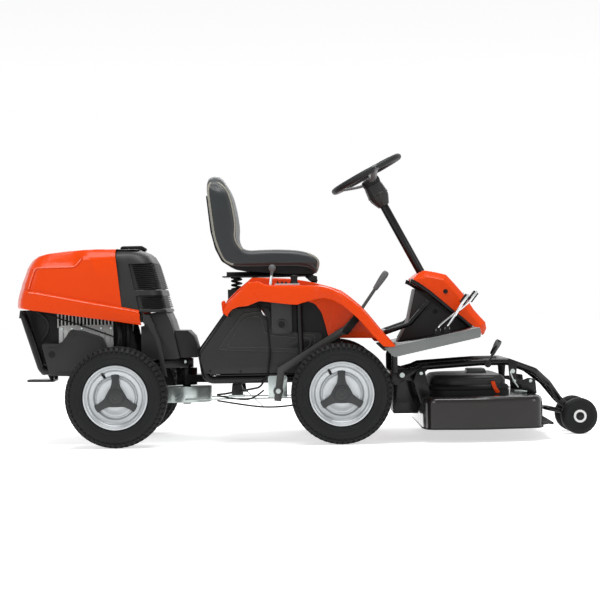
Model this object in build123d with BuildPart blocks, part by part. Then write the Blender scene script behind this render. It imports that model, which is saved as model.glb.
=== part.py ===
"""Articulated front-deck riding lawn mower, all sizes in millimetres.

+X points forward, +Y to the driver's left and +Z up. The origin is on the ground, at the middle of the
overall length and width. The front chassis carries the driver, the rear chassis carries the engine and
swings about a vertical pin to steer, and the cutting deck hangs in a frame ahead of the front wheels.
"""
from build123d import *
import math
import os

# ---- Driving dimensions -----------------------------------------------------------------------------
LENGTH = 2146  # hood tail to the front of the support wheels
WHEELBASE = 801
FRONT_AXLE_X = 122
WHEEL_Y = 352  # centre of each tyre from the middle plane
TYRE_R = 180
TYRE_W = 155
RIM_R = 114.5  # flange
BEAD_R = 101  # rim barrel
SPINDLE_R = 12.5
PIVOT_X = -450  # articulation pin
PIN_R = 15
DRUM_R = 94  # steering drum on the articulation pin
DRUM_BOTTOM = 141
DRUM_TOP = 200
RAIL_Y = 215  # front chassis side tubes
RAIL_R = 14
RAIL_Z = 229
COVER_HALF = 335  # body cover
SKIN = 4  # wall of every moulded cover
HOOD_HALF = 265
HOOD_BASE = 490  # joint line between the grille and the fairing
COLUMN_TILT = 28  # degrees back from upright
COLUMN_R = 16
COLUMN_X = 434  # where the column leaves the cowl
COLUMN_Z = 611
COLUMN_REACH = 419  # from there to the steering wheel's middle
STEER_R = 147.5
STEER_GRIP_R = 13
SEAT_HALF = 232
SHELF_Z = 570  # console beside the seat
DECK_HALF = 447
DECK_BOTTOM = 46
DECK_TOP = 160
DECK_WALL = 4
SPINDLE_X = 627  # blade spindles
SPINDLE_Y = 211
BLADE_R = 206
SUPPORT_R = 67  # support wheels at the very front
SUPPORT_W = 55
SUPPORT_Y = 86
DECK_TUBE_R = 12.5
DECK_TUBE_Y = 180
DECK_PIVOT = (347, 234)  # x, z of the pin that the deck frame lifts about

RUN = 0.05  # radial running clearance of a pin in its hole
SEAT_GAP = 0.3  # gap between pieces that rest on each other

# ---- Values that follow ------------------------------------------------------------------------------
REAR_END_X = -LENGTH / 2
FRONT_END_X = LENGTH / 2
REAR_AXLE_X = FRONT_AXLE_X - WHEELBASE
AXLE_Z = TYRE_R
RAIL_TOP = RAIL_Z + RAIL_R
RAIL_OUT = RAIL_Y + RAIL_R
SUPPORT_X = FRONT_END_X - SUPPORT_R
SIDES = (-1, 1)  # right, left

os.makedirs("parts", exist_ok=True)


def save(piece, name):
    """Labels a finished sub-part and writes its STEP file."""
    piece.part.label = name
    export_step(piece.part, f"parts/{name}.step")


def bent_tube(points, bend, radius):
    """A round bar or tube envelope along straight runs joined by arcs."""
    with BuildPart() as tube:
        with BuildLine() as path:
            FilletPolyline(*points, radius=bend)
        with BuildSketch(Plane(origin=path.line @ 0, z_dir=path.line % 0)):
            Circle(radius)
        sweep(path=path.line)
    return tube.part


def strip(points, width):
    """The outline of a flat bar of constant width along a line of points, with mitred corners."""
    left, right = [], []
    for i, (x, z) in enumerate(points):
        x0, z0 = points[max(i - 1, 0)]
        x1, z1 = points[min(i + 1, len(points) - 1)]
        a = math.atan2(z - z0, x - x0) if i else math.atan2(z1 - z, x1 - x)
        b = math.atan2(z1 - z, x1 - x) if i < len(points) - 1 else a
        mid = (a + b) / 2
        reach = width / 2 / math.cos((b - a) / 2)
        left.append((x - reach * math.sin(mid), z + reach * math.cos(mid)))
        right.append((x + reach * math.sin(mid), z - reach * math.cos(mid)))
    return left + right[::-1]


def outline(points):
    """A closed face on the current sketch plane."""
    Polygon(*points, align=None)


def side_plate(points, inner, thickness, sides=SIDES):
    """A plate cut to a side outline, from a distance inner to inner + thickness out from the middle."""
    with BuildPart() as plate:
        for side in sides:
            with BuildSketch(Plane.XZ.offset(-side * inner)):
                outline(points)
            extrude(amount=-side * thickness)
    return plate.part


def column_plane(reach):
    """Plane square to the steering column, at a distance along it from where it leaves the cowl."""
    tilt = math.radians(COLUMN_TILT)
    up = Vector(-math.sin(tilt), 0, math.cos(tilt))
    return Plane(origin=Vector(COLUMN_X, 0, COLUMN_Z) + up * reach, x_dir=(0, 1, 0), z_dir=up)


# ---- Wheels ------------------------------------------------------------------------------------------
HUB_R = 24
HUB_IN = -40  # hub tube, from inboard to outboard of the wheel's middle
HUB_OUT = 36
DISC_Y = 34
CAP_FACE = 39.8
CAP_T = 11
SPINDLE_END = WHEEL_Y + HUB_OUT + 2


def wheel_plane(x, side):
    """Section plane of a wheel: local x runs outboard along the axle, local y is the radius."""
    return Plane(origin=(x, side * WHEEL_Y, AXLE_Z), x_dir=(0, side, 0), z_dir=(side, 0, 0))


def make_tyre(x, side):
    """A low-profile turf tyre: one moulded rubber carcass, open towards the rim."""
    half = TYRE_W / 2
    bead_y, wall = 62.5, 10
    crown_y = half - 16
    foot = RIM_R + 1.5
    mid = (BEAD_R + TYRE_R) / 2 + 6
    hollow = foot + 0.635 * (TYRE_R - 16 - foot)
    low = BEAD_R + SEAT_GAP
    with BuildPart() as tyre:
        with BuildSketch(wheel_plane(x, side)):
            with BuildLine():
                outer = ThreePointArc((bead_y, foot), (half, mid), (crown_y, TYRE_R - 5))
                crown = ThreePointArc(outer @ 1, (0, TYRE_R), (-crown_y, TYRE_R - 5))
                far = ThreePointArc(crown @ 1, (-half, mid), (-bead_y, foot))
                Polyline(far @ 1, (-bead_y, low), (wall - bead_y, low), (wall - bead_y, foot))
                inner = ThreePointArc((wall - bead_y, foot), (wall - half, hollow), (wall - crown_y, TYRE_R - 16))
                roof = ThreePointArc(inner @ 1, (0, TYRE_R - wall - 1), (crown_y - wall, TYRE_R - 16))
                near = ThreePointArc(roof @ 1, (half - wall, hollow), (bead_y - wall, foot))
                Polyline(near @ 1, (bead_y - wall, low), (bead_y, low), (bead_y, foot))
            make_face()
        revolve(axis=Axis((x, side * WHEEL_Y, AXLE_Z), (0, 1, 0)))
    return tyre


def make_rim(x, side):
    """A pressed steel rim with its hub tube, and the three-legged plastic cap over the hub."""
    flange_in, flange_out = 64.5, 68
    wall = 3.5
    with BuildPart() as rim:
        with BuildSketch(wheel_plane(x, side)):
            outline([
                (-flange_out, BEAD_R - wall), (-flange_out, RIM_R), (-flange_in, RIM_R), (-flange_in, BEAD_R),
                (flange_in, BEAD_R), (flange_in, RIM_R), (flange_out, RIM_R), (flange_out, BEAD_R - wall),
                (DISC_Y + wall, BEAD_R - wall), (DISC_Y + wall, HUB_R), (HUB_OUT + wall, HUB_R),
                (HUB_OUT + wall, SPINDLE_R + RUN), (HUB_IN, SPINDLE_R + RUN), (HUB_IN, HUB_R),
                (DISC_Y, HUB_R), (DISC_Y, BEAD_R - wall),
            ])
        revolve(axis=Axis((x, side * WHEEL_Y, AXLE_Z), (0, 1, 0)))
        face = Plane(
            origin=(x, side * (WHEEL_Y + CAP_FACE), AXLE_Z), x_dir=(1, 0, 0), z_dir=(0, side, 0)
        )
        with BuildSketch(face):
            Circle(33)
            with PolarLocations(0, 3, start_angle=90 * side):
                outline([(20, -19), (80, -13), (84, 0), (80, 13), (20, 19)])
        extrude(amount=CAP_T)
    return rim


CORNERS = {
    "front_right": (FRONT_AXLE_X, -1),
    "front_left": (FRONT_AXLE_X, 1),
    "rear_right": (REAR_AXLE_X, -1),
    "rear_left": (REAR_AXLE_X, 1),
}
for corner, (axle_x, side) in CORNERS.items():
    save(make_tyre(axle_x, side), f"tyre_{corner}")
    save(make_rim(axle_x, side), f"rim_{corner}")


# ---- Front chassis -----------------------------------------------------------------------------------
LEVER_Y = 256
LEVER_T = 10
LEVER_PIVOT = (-104, 186)
LEVER_PIN_R = 6
RAIL_FRONT_X = 300
rail_line = [(-268, 487), (-382, 330), (-366, RAIL_Z), (RAIL_FRONT_X, RAIL_Z)]
right_rail = bent_tube([(x, -RAIL_Y, z) for x, z in rail_line], 34, RAIL_R)

with BuildPart() as frame_rails:
    add(right_rail)
    mirror(about=Plane.XZ)
    with BuildSketch(Plane.XZ.offset(RAIL_OUT + SEAT_GAP)):
        outline([(-141, 163), (-141, 241), (-72, 241), (-72, 163)])
    extrude(amount=4)
    with BuildSketch(Plane.XZ.offset(RAIL_OUT + SEAT_GAP)):
        with Locations(LEVER_PIVOT):
            Circle(LEVER_PIN_R)
    extrude(amount=LEVER_Y + LEVER_T / 2 + 2 - RAIL_OUT)
save(frame_rails, "frame_rails")

HOUSING_R = 40
HOUSING_LOW = DRUM_TOP + 5
HOUSING_HIGH = 268
CROSS_X = -336
cross_half = RAIL_Y - RAIL_R - SEAT_GAP
with BuildPart() as rear_crossmember:
    with BuildSketch(Plane.XZ.offset(-cross_half)):
        with Locations((CROSS_X, RAIL_Z)):
            Circle(RAIL_R)
    extrude(amount=2 * cross_half)
    with BuildSketch(Plane.XY.offset(RAIL_Z - RAIL_R)):
        outline([(PIVOT_X, -HOUSING_R), (PIVOT_X, HOUSING_R), (CROSS_X, 90), (CROSS_X, -90)])
    extrude(amount=2 * RAIL_R)
    with BuildSketch(Plane.XY.offset(HOUSING_LOW)):
        with Locations((PIVOT_X, 0)):
            Circle(HOUSING_R)
    extrude(amount=HOUSING_HIGH - HOUSING_LOW)
    with BuildSketch(Plane.XY.offset(HOUSING_LOW)):
        with Locations((PIVOT_X, 0)):
            Circle(PIN_R + RUN)
    extrude(amount=HOUSING_HIGH - HOUSING_LOW, mode=Mode.SUBTRACT)
save(rear_crossmember, "rear_crossmember")

AXLE_TUBE_R = 15
axle_half = WHEEL_Y + HUB_IN - 1
with BuildPart() as front_axle:
    with BuildSketch(Plane.XZ.offset(-axle_half)):
        with Locations((FRONT_AXLE_X, AXLE_Z)):
            Circle(AXLE_TUBE_R)
    extrude(amount=2 * axle_half)
    with BuildSketch(Plane.XZ.offset(-SPINDLE_END)):
        with Locations((FRONT_AXLE_X, AXLE_Z)):
            Circle(SPINDLE_R)
    extrude(amount=2 * SPINDLE_END)
    for side in SIDES:
        with BuildSketch(Plane.XZ.offset(-side * (RAIL_Y - RAIL_R))):
            outline([
                (FRONT_AXLE_X - 40, RAIL_Z - RAIL_R - SEAT_GAP), (FRONT_AXLE_X + 40, RAIL_Z - RAIL_R - SEAT_GAP),
                (FRONT_AXLE_X + 18, AXLE_Z), (FRONT_AXLE_X - 18, AXLE_Z),
            ])
        extrude(amount=-side * 2 * RAIL_R)
save(front_axle, "front_axle")

CROSS_FRONT_X = 326
EAR_Y = 160  # inner face of each pivot ear
EAR_T = 8
PIVOT_PIN_R = 9
with BuildPart() as front_crossmember:
    with BuildSketch(Plane.XZ.offset(-(RAIL_Y + RAIL_R))):
        with Locations((RAIL_FRONT_X + RAIL_R + SEAT_GAP, RAIL_Z)):
            Circle(RAIL_R)
    extrude(amount=2 * (RAIL_Y + RAIL_R))
    for side in SIDES:
        with BuildSketch(Plane.XZ.offset(-side * EAR_Y)):
            outline([
                (RAIL_FRONT_X + 4, 244), (DECK_PIVOT[0] + 14, 250), (DECK_PIVOT[0] + 16, 218),
                (CROSS_FRONT_X + 8, 196), (RAIL_FRONT_X + 4, 200),
            ])
        extrude(amount=-side * EAR_T)
        with BuildSketch(Plane.XZ.offset(-side * EAR_Y)):
            with Locations(DECK_PIVOT):
                Circle(PIVOT_PIN_R)
        extrude(amount=-side * 52)
    with BuildSketch(Plane.XZ.offset(-130)):
        outline([(CROSS_FRONT_X - 8, 90), (CROSS_FRONT_X - 8, 222), (CROSS_FRONT_X, 222), (CROSS_FRONT_X, 98),
                 (408, 98), (408, 90)])
    extrude(amount=260)
    for side in SIDES:
        with BuildSketch(Plane.XZ.offset(-side * 130)):
            outline([(CROSS_FRONT_X - 8, 90), (CROSS_FRONT_X - 8, 205), (408, 180), (408, 90)])
        extrude(amount=-side * 4)
save(front_crossmember, "front_crossmember")

# The seat tower: a floor plate on the rails, two uprights and a bent top sheet with the spring cups.
HINGE = (36, 590)  # x, z of the seat's front hinge
HINGE_PIN_R = 5
FLOOR_Z = RAIL_TOP + SEAT_GAP
TOWER_HALF = 120
SPRING_X = -256
SPRING_Y = 85
CUP_TOP = 557
with BuildPart() as seat_tower:
    with BuildSketch(Plane.XY.offset(FLOOR_Z)):
        outline([(-330, -RAIL_OUT), (-330, RAIL_OUT), (60, RAIL_OUT), (60, -RAIL_OUT)])
    extrude(amount=4)
    with BuildSketch(Plane.XZ.offset(-TOWER_HALF)):
        outline([(-286, 507), (-240, 507), (-200, 550), (40, 550), (40, 554), (-202, 554), (-242, 511), (-286, 511)])
    extrude(amount=2 * TOWER_HALF)
    for side in SIDES:
        with BuildSketch(Plane.XZ.offset(-side * (TOWER_HALF - 6))):
            outline([(-128, FLOOR_Z + 2), (-42, FLOOR_Z + 2), (-42, 551), (-128, 551)])
        extrude(amount=-side * 6)
        with BuildSketch(Plane.XZ.offset(-side * (TOWER_HALF - 3))):
            outline([(-112, 506), (-58, 506), (-58, 512), (-112, 512)])
        extrude(amount=-side * 129)
        with BuildSketch(Plane.XZ.offset(-side * 243)):
            outline([(-125, 392), (-50, 392), (-50, SHELF_Z - 6), (-125, SHELF_Z - 6)])
            with Locations((-87, 428)):
                Circle(17, mode=Mode.SUBTRACT)
        extrude(amount=-side * 4)
        with BuildSketch(Plane.XZ.offset(-side * (SPRING_Y - 25))):
            outline([(-286, 511), (-244, 511), (-244, CUP_TOP), (-286, CUP_TOP)])
        extrude(amount=-side * 50)
        with BuildSketch(Plane.XZ.offset(-side * 95)):
            outline([(10, 553), (40, 553), (HINGE[0] + 10, HINGE[1]), (HINGE[0], HINGE[1] + 10), (HINGE[0] - 10, HINGE[1])])
        extrude(amount=-side * 6)
        with BuildSketch(Plane.XZ.offset(-side * 90)):
            with Locations(HINGE):
                Circle(HINGE_PIN_R)
        extrude(amount=-side * 24)
save(seat_tower, "seat_tower")

PANEL_Y = RAIL_OUT + SEAT_GAP
panel_outline = [
    (-377, 249), (-390, 318), (-276, 474), (-268, 486), (-130, 492), (-126, 402), (66, 396), (38, 300), (20, 249),
]
relief_outline = [(-300, 372), (-222, 466), (-160, 474), (-140, 400), (30, 384), (10, 330), (-140, 338), (-290, 356)]
with BuildPart() as side_panels:
    for side in SIDES:
        with BuildSketch(Plane.XZ.offset(-side * PANEL_Y)):
            outline(panel_outline)
        extrude(amount=-side * SKIN)
        with BuildSketch(Plane.XZ.offset(-side * PANEL_Y)):
            outline(relief_outline)
        extrude(amount=-side * (SKIN + 4))
save(side_panels, "side_panels")

with BuildPart() as battery:
    with BuildSketch(Plane.XY.offset(FLOOR_Z + 4 + SEAT_GAP)):
        outline([(-318, 16 - RAIL_Y), (-318, 91 - RAIL_Y), (-134, 91 - RAIL_Y), (-134, 16 - RAIL_Y)])
    extrude(amount=158)
    with BuildSketch(Plane.XY.offset(FLOOR_Z + 4 + SEAT_GAP + 158)):
        with Locations((-296, 53 - RAIL_Y), (-156, 53 - RAIL_Y)):
            Circle(8)
    extrude(amount=14)
save(battery, "battery")

TANK_X = -226
TANK_Y = RAIL_Y - 55
TANK_TOP = 470
with BuildPart() as fuel_tank:
    with BuildSketch(Plane.XY.offset(FLOOR_Z + 4 + SEAT_GAP)):
        with Locations((TANK_X, TANK_Y)):
            RectangleRounded(180, 76, 14)
    extrude(amount=TANK_TOP - FLOOR_Z - 4)
    with BuildSketch(Plane.XY.offset(TANK_TOP)):
        with Locations((TANK_X + 50, TANK_Y)):
            Circle(20)
    extrude(amount=22)
    with BuildSketch(Plane.XY.offset(FLOOR_Z + 4 + SEAT_GAP + SKIN)):
        with Locations((TANK_X, TANK_Y)):
            RectangleRounded(180 - 2 * SKIN, 76 - 2 * SKIN, 10)
    extrude(amount=TANK_TOP - FLOOR_Z - 4 - 2 * SKIN, mode=Mode.SUBTRACT)
    with BuildSketch(Plane.XY.offset(TANK_TOP - 2 * SKIN)):
        with Locations((TANK_X + 50, TANK_Y)):
            Circle(16)
    extrude(amount=40, mode=Mode.SUBTRACT)
save(fuel_tank, "fuel_tank")

with BuildPart() as fuel_cap:
    with BuildSketch(Plane.XY.offset(TANK_TOP + 22 + SEAT_GAP)):
        with Locations((TANK_X + 50, TANK_Y)):
            Circle(28)
    extrude(amount=14)
    with BuildSketch(Plane.XY.offset(TANK_TOP + 22 + SEAT_GAP)):
        with Locations((TANK_X + 50, TANK_Y)):
            Circle(16 - 0.5)
    extrude(amount=-16)
save(fuel_cap, "fuel_cap")

# ---- Body cover --------------------------------------------------------------------------------------
RIDGE_Y = 243  # the middle of the cover is higher than its outer parts
LINER_Y = 242
LINER_T = 4
nose = [(133, 546), (163, 522), (201, 489), (227, 460), (272, 403), (313, 351)]
middle_top = [(-298, 483), (-193, 597), (-54, 592), (34, 577), (87, 564)] + nose
outer_top = [(-298, 483), (-206, 583), (-166, 584), (-142, SHELF_Z), (28, SHELF_Z - 3), (87, 556)]
outer_top += [(x - 3, z - 5) for x, z in nose[:-1]] + nose[-1:]
lower_edge = [(275, 342), (241, 377), (174, 455), (135, 484), (60, 512), (16, 506), (-34, 496), (-143, 509), (-165, 512),
              (-210, 494), (-256, 492), (-280, 461)]
slot_front = (232, 470)
slot_rear = (4, 610)
THROTTLE_X = -126
KNOB_X = -40
CONSOLE_Y = 285


def cover_block(top, half, inset):
    """The volume under a top line, down to the cover's lower edge, or the cavity inside it."""
    with BuildPart() as block:
        with BuildSketch(Plane.XZ.offset(-(half - inset))):
            if inset:
                outline(top + [(top[-1][0], 0), (top[0][0] - 60, 0)])
                offset(amount=-inset)
            else:
                outline(top + lower_edge)
        extrude(amount=2 * (half - inset))
    return block.part


middle_block = cover_block(middle_top, RIDGE_Y, 0)
outer_block = cover_block(outer_top, COVER_HALF, 0)
middle_cavity = cover_block(middle_top, RIDGE_Y, SKIN)
outer_cavity = cover_block(outer_top, COVER_HALF, SKIN)
liner_outline = [(16, 500), (44, 467), (76, 384), (110, 378), (251, 371), (262, 400), (222, 450), (180, 492), (120, 540), (40, 560)]
with BuildPart() as body_cover:
    add(outer_block)
    add(middle_block)
    add(outer_cavity, mode=Mode.SUBTRACT)
    add(middle_cavity, mode=Mode.SUBTRACT)
    for side in SIDES:
        with BuildSketch(Plane.XZ.offset(-side * (LINER_Y - LINER_T))):
            outline(liner_outline)
        extrude(amount=-side * LINER_T)
    with BuildSketch(Plane.XY.offset(440)):
        outline([(-320, -150), (-320, 195), (-100, 195), (-100, 150), (58, 150), (58, -150)])
    extrude(amount=200, mode=Mode.SUBTRACT)
    with BuildSketch(Plane.XY.offset(440)):
        outline([(slot_rear[0], -LEVER_Y - 12), (slot_rear[0], -LEVER_Y + 12), (slot_front[0], -LEVER_Y + 12),
                 (slot_front[0], -LEVER_Y - 12)])
    extrude(amount=200, mode=Mode.SUBTRACT)
    with BuildSketch(Plane.XY.offset(SHELF_Z - 30)):
        with Locations((THROTTLE_X, -CONSOLE_Y)):
            Rectangle(62, 11)
    extrude(amount=60, mode=Mode.SUBTRACT)
    for y in (-CONSOLE_Y - 12, -CONSOLE_Y + 6):
        with BuildSketch(Plane.XZ.offset(-y)):
            outline([(THROTTLE_X - 12, SHELF_Z - 24), (THROTTLE_X + 12, SHELF_Z - 24), (THROTTLE_X + 12, SHELF_Z - 2),
                     (THROTTLE_X - 12, SHELF_Z - 2)])
        extrude(amount=-6)
    with BuildSketch(Plane.XZ.offset(CONSOLE_Y - 10)):
        with Locations((THROTTLE_X, SHELF_Z - 16)):
            Circle(3)
    extrude(amount=20)
    with BuildSketch(Plane.XY.offset(SHELF_Z - 30)):
        with Locations((KNOB_X, -CONSOLE_Y)):
            Circle(4 + RUN)
    extrude(amount=60, mode=Mode.SUBTRACT)
save(body_cover, "body_cover")

with BuildPart() as throttle_lever:
    with BuildSketch(Plane.XZ.offset(CONSOLE_Y - 4)):
        with Locations((THROTTLE_X, SHELF_Z - 16)):
            Circle(7)
            Circle(3 + RUN, mode=Mode.SUBTRACT)
    extrude(amount=8)
    with BuildSketch(Plane(origin=(THROTTLE_X, -CONSOLE_Y, SHELF_Z - 11), z_dir=(0, 0, 1))):
        Circle(3.5)
    extrude(amount=60)
    with BuildSketch(Plane(origin=(THROTTLE_X, -CONSOLE_Y, SHELF_Z + 5), z_dir=(0, 0, 1))):
        Circle(9)
    extrude(amount=30, taper=8)
    with BuildSketch(Plane(origin=(THROTTLE_X, -CONSOLE_Y, SHELF_Z + 61), x_dir=(0, 1, 0), z_dir=(1, 0, 0))):
        with BuildLine():
            CenterArc((0, 0), 13, -90, 180)
            Line((0, -13), (0, 13))
        make_face()
    revolve(axis=Axis((THROTTLE_X, -CONSOLE_Y, SHELF_Z + 61), (0, 0, 1)))
save(throttle_lever, "throttle_lever")

with BuildPart() as pto_knob:
    with BuildSketch(Plane.XY.offset(SHELF_Z + SEAT_GAP)):
        with Locations((KNOB_X, -CONSOLE_Y)):
            Circle(16)
    extrude(amount=12)
    with BuildSketch(Plane.XY.offset(SHELF_Z + 12)):
        with Locations((KNOB_X, -CONSOLE_Y)):
            Circle(13)
    extrude(amount=20)
    with BuildSketch(Plane.XY.offset(SHELF_Z - 14)):
        with Locations((KNOB_X, -CONSOLE_Y)):
            Circle(4)
    extrude(amount=20)
save(pto_knob, "pto_knob")

# ---- Fenders, footplate, cowl ------------------------------------------------------------------------
FENDER_OUT = 425
fender_top = [(33, 567), (87, 556), (133, 539), (163, 515), (201, 484), (227, 457), (272, 400), (305, 355)]
fender_lip = [(275, 342), (241, 377), (174, 455), (135, 487), (88, 520), (33, 530)]
with BuildPart() as fenders:
    for side in SIDES:
        for inner, thickness, line in (
            (COVER_HALF + SEAT_GAP, FENDER_OUT - COVER_HALF - SEAT_GAP, None),
            (FENDER_OUT - SKIN, SKIN, fender_lip),
        ):
            with BuildSketch(Plane.XZ.offset(-side * inner)):
                if line:
                    outline(fender_top + line)
                else:
                    outline(fender_top + [(x - 3, z - SKIN - 1) for x, z in reversed(fender_top)])
            extrude(amount=-side * thickness)
save(fenders, "fenders")

PLATE_HALF = 400
SLOPE = math.tan(math.radians(11.3))
FRONT_X = 611
BACK_X = 320
TUNNEL_HALF = 110


def plate_z(x, drop=0.0):
    """Height of the footplate's upper face at a distance forward, or of a level below it."""
    return 347 + (x - BACK_X) * SLOPE - drop


with BuildPart() as footplate:
    with BuildSketch(Plane.XZ.offset(-PLATE_HALF)):
        outline([(BACK_X, plate_z(BACK_X)), (FRONT_X, plate_z(FRONT_X)), (FRONT_X, plate_z(FRONT_X, 5)),
                 (BACK_X, plate_z(BACK_X, 5))])
    extrude(amount=2 * PLATE_HALF)
    for side in SIDES:
        with BuildSketch(Plane.XZ.offset(-side * (PLATE_HALF - SKIN))):
            outline([(BACK_X, plate_z(BACK_X, 1)), (FRONT_X, plate_z(FRONT_X, 1)), (FRONT_X, plate_z(FRONT_X, 34)),
                     (BACK_X, plate_z(BACK_X, 34))])
        extrude(amount=-side * SKIN)
        with BuildSketch(Plane.XZ.offset(-side * (RAIL_OUT + 7))):
            outline([(308, RAIL_TOP + SEAT_GAP), (330, RAIL_TOP + SEAT_GAP), (330, plate_z(330, 3)), (321, plate_z(321, 3)), (308, 300)])
        extrude(amount=side * 20)
    for y in (-232, -272, 236):
        for x in (479, 509):
            if (x, y) in ((479, -232), (509, -272), (479, 236)):
                for ear in (-9, 5):
                    with BuildSketch(Plane.XZ.offset(-(y + ear))):
                        outline([(x - 12, plate_z(x, 3)), (x + 12, plate_z(x, 3)), (x + 6, plate_z(x, -26)), (x - 6, plate_z(x, -26))])
                    extrude(amount=-4)
                with BuildSketch(Plane.XZ.offset(-(y - 8))):
                    with Locations((x, plate_z(x, -16))):
                        Circle(4)
                extrude(amount=-16)
save(footplate, "footplate")

with BuildPart() as footplate_trims:
    for side in SIDES:
        with BuildSketch(Plane.XZ.offset(-side * (PLATE_HALF + SEAT_GAP))):
            outline([(BACK_X - 44, plate_z(BACK_X - 44)), (FRONT_X + 2, plate_z(FRONT_X + 2)), (FRONT_X + 6, plate_z(FRONT_X, 34)),
                     (BACK_X - 10, plate_z(BACK_X, 34))])
        extrude(amount=-side * 12)
save(footplate_trims, "footplate_trims")


def make_pedal(x, y, tip, pad_angle, pad_length):
    """A pedal: hub on its pin, a bent rod and a flat rubber-faced pad."""
    pivot = (x, plate_z(x, -16))
    with BuildPart() as pedal:
        with BuildSketch(Plane.XZ.offset(-(y - 3.5))):
            with Locations(pivot):
                Circle(9)
                Circle(4 + RUN, mode=Mode.SUBTRACT)
        extrude(amount=-7)
        run = Vector(tip[0] - pivot[0], 0, tip[1] - pivot[1])
        away = run.normalized()
        with BuildSketch(Plane(origin=Vector(pivot[0], y, pivot[1]) + away * 7, z_dir=away)):
            Circle(4)
        extrude(amount=run.length - 9)
        pad = Plane(origin=(tip[0], y, tip[1]), x_dir=(0, 1, 0),
                    z_dir=(math.sin(math.radians(pad_angle)), 0, math.cos(math.radians(pad_angle))))
        with BuildSketch(pad):
            RectangleRounded(34, pad_length, 5)
        extrude(amount=8, both=True)
    return pedal


save(make_pedal(479, -232, (607, 516), -52, 44), "pedal_forward")
save(make_pedal(509, -272, (574, 506), -52, 40), "pedal_reverse")
save(make_pedal(479, 236, (594, 506), -50, 60), "pedal_brake")

cowl_top = [(395, 586), (439, 615), (518, 598), (578, 529), (617, 469), (660, 420), (663, 397), (651, 371)]
cowl_low = [(632, 388), (612, 408), (541, 465), (459, 537), (404, 572)]
COWL_HALF = 170
with BuildPart() as cowl:
    with BuildSketch(Plane.XZ.offset(-COWL_HALF)):
        outline(cowl_top + cowl_low)
    extrude(amount=2 * COWL_HALF)
    with BuildSketch(Plane.XZ.offset(-(COWL_HALF - SKIN))):
        outline(cowl_top + [(560, 300), (360, 500)])
        offset(amount=-SKIN)
    extrude(amount=2 * (COWL_HALF - SKIN), mode=Mode.SUBTRACT)
    with BuildSketch(column_plane(-60)):
        Circle(COLUMN_R + 2)
    extrude(amount=100, mode=Mode.SUBTRACT)
save(cowl, "cowl")

tunnel_outline = [(340, plate_z(340) + SEAT_GAP), (612, plate_z(612) + SEAT_GAP), (541, 458), (459, 530), (406, 548), (381, 434)]
with BuildPart() as tunnel:
    with BuildSketch(Plane.XZ.offset(-TUNNEL_HALF)):
        outline(tunnel_outline)
    extrude(amount=2 * TUNNEL_HALF)
    with BuildSketch(Plane.XZ.offset(-(TUNNEL_HALF - SKIN))):
        outline(tunnel_outline)
        offset(amount=-SKIN)
    extrude(amount=2 * (TUNNEL_HALF - SKIN), mode=Mode.SUBTRACT)
    for side in SIDES:
        with BuildSketch(Plane.XZ.offset(-side * (TUNNEL_HALF - 2))):
            outline([(548, 458), (588, 424), (598, 432), (556, 468)])
        extrude(amount=-side * (COWL_HALF - SKIN - SEAT_GAP - TUNNEL_HALF + 2))
    with BuildSketch(column_plane(-110)):
        Circle(COLUMN_R + SEAT_GAP)
    extrude(amount=100, mode=Mode.SUBTRACT)
save(tunnel, "tunnel")

with BuildPart() as foot_tubes:
    for side in SIDES:
        add(bent_tube([(x, side * 160, z) for x, z in [(293.5, 390.8), (381, 420), (452, 503)]], 40, 9))
    with BuildSketch(Plane.XZ.offset(-160)):
        with Locations((293.5, 390.8)):
            Circle(9)
    extrude(amount=320)
save(foot_tubes, "foot_tubes")

SHAFT_R = 8
with BuildPart() as steering_column:
    with BuildSketch(column_plane(-108)):
        Circle(COLUMN_R)
        Circle(SHAFT_R + RUN, mode=Mode.SUBTRACT)
    extrude(amount=108 + COLUMN_REACH - 130)
save(steering_column, "steering_column")

with BuildPart() as steering_wheel:
    with BuildSketch(column_plane(-104)):
        Circle(SHAFT_R)
    extrude(amount=104 + COLUMN_REACH)
    with BuildSketch(column_plane(COLUMN_REACH - 128)):
        Circle(24)
    extrude(amount=100, taper=-8)
    with BuildSketch(column_plane(COLUMN_REACH - 30)):
        Circle(44)
    extrude(amount=34, taper=12)
    ring = column_plane(COLUMN_REACH)
    with BuildSketch(Plane(origin=ring.origin, x_dir=ring.x_dir, z_dir=ring.x_dir.cross(ring.z_dir))):
        with Locations((STEER_R - STEER_GRIP_R, 0)):
            Circle(STEER_GRIP_R)
    revolve(axis=Axis(ring.origin, ring.z_dir))
    with BuildSketch(column_plane(COLUMN_REACH - 8)):
        with PolarLocations(0, 3, start_angle=90):
            outline([(20, -20), (STEER_R - STEER_GRIP_R, -16), (STEER_R - STEER_GRIP_R, 16), (20, 20)])
    extrude(amount=10)
save(steering_wheel, "steering_wheel")

# ---- Lift lever --------------------------------------------------------------------------------------
with BuildPart() as lift_lever:
    with BuildSketch(Plane.XZ.offset(LEVER_Y - LEVER_T / 2)):
        outline(strip([(-107, 150), (-93, 262), (2, 320), (138, 403)], 26))
        with Locations(LEVER_PIVOT):
            Circle(18)
            Circle(LEVER_PIN_R + RUN, mode=Mode.SUBTRACT)
    extrude(amount=LEVER_T)
    with BuildSketch(Plane.XZ.offset(LEVER_Y - 7)):
        outline(strip([(132, 392), (184, 448)], 26))
    extrude(amount=14)
    rod = Vector(59, 0, 84).normalized()
    with BuildSketch(Plane(origin=(174, -LEVER_Y, 438), z_dir=rod)):
        Circle(6)
    extrude(amount=170)
save(lift_lever, "lift_lever")
with BuildPart() as lift_grip:
    with BuildSketch(Plane(origin=Vector(174, -LEVER_Y, 438) + rod * 136, z_dir=rod)):
        Circle(11)
    extrude(amount=72)
    with BuildSketch(Plane(origin=Vector(174, -LEVER_Y, 438) + rod * 135, z_dir=rod)):
        Circle(6 + SEAT_GAP)
    extrude(amount=36, mode=Mode.SUBTRACT)
save(lift_grip, "lift_grip")

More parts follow.
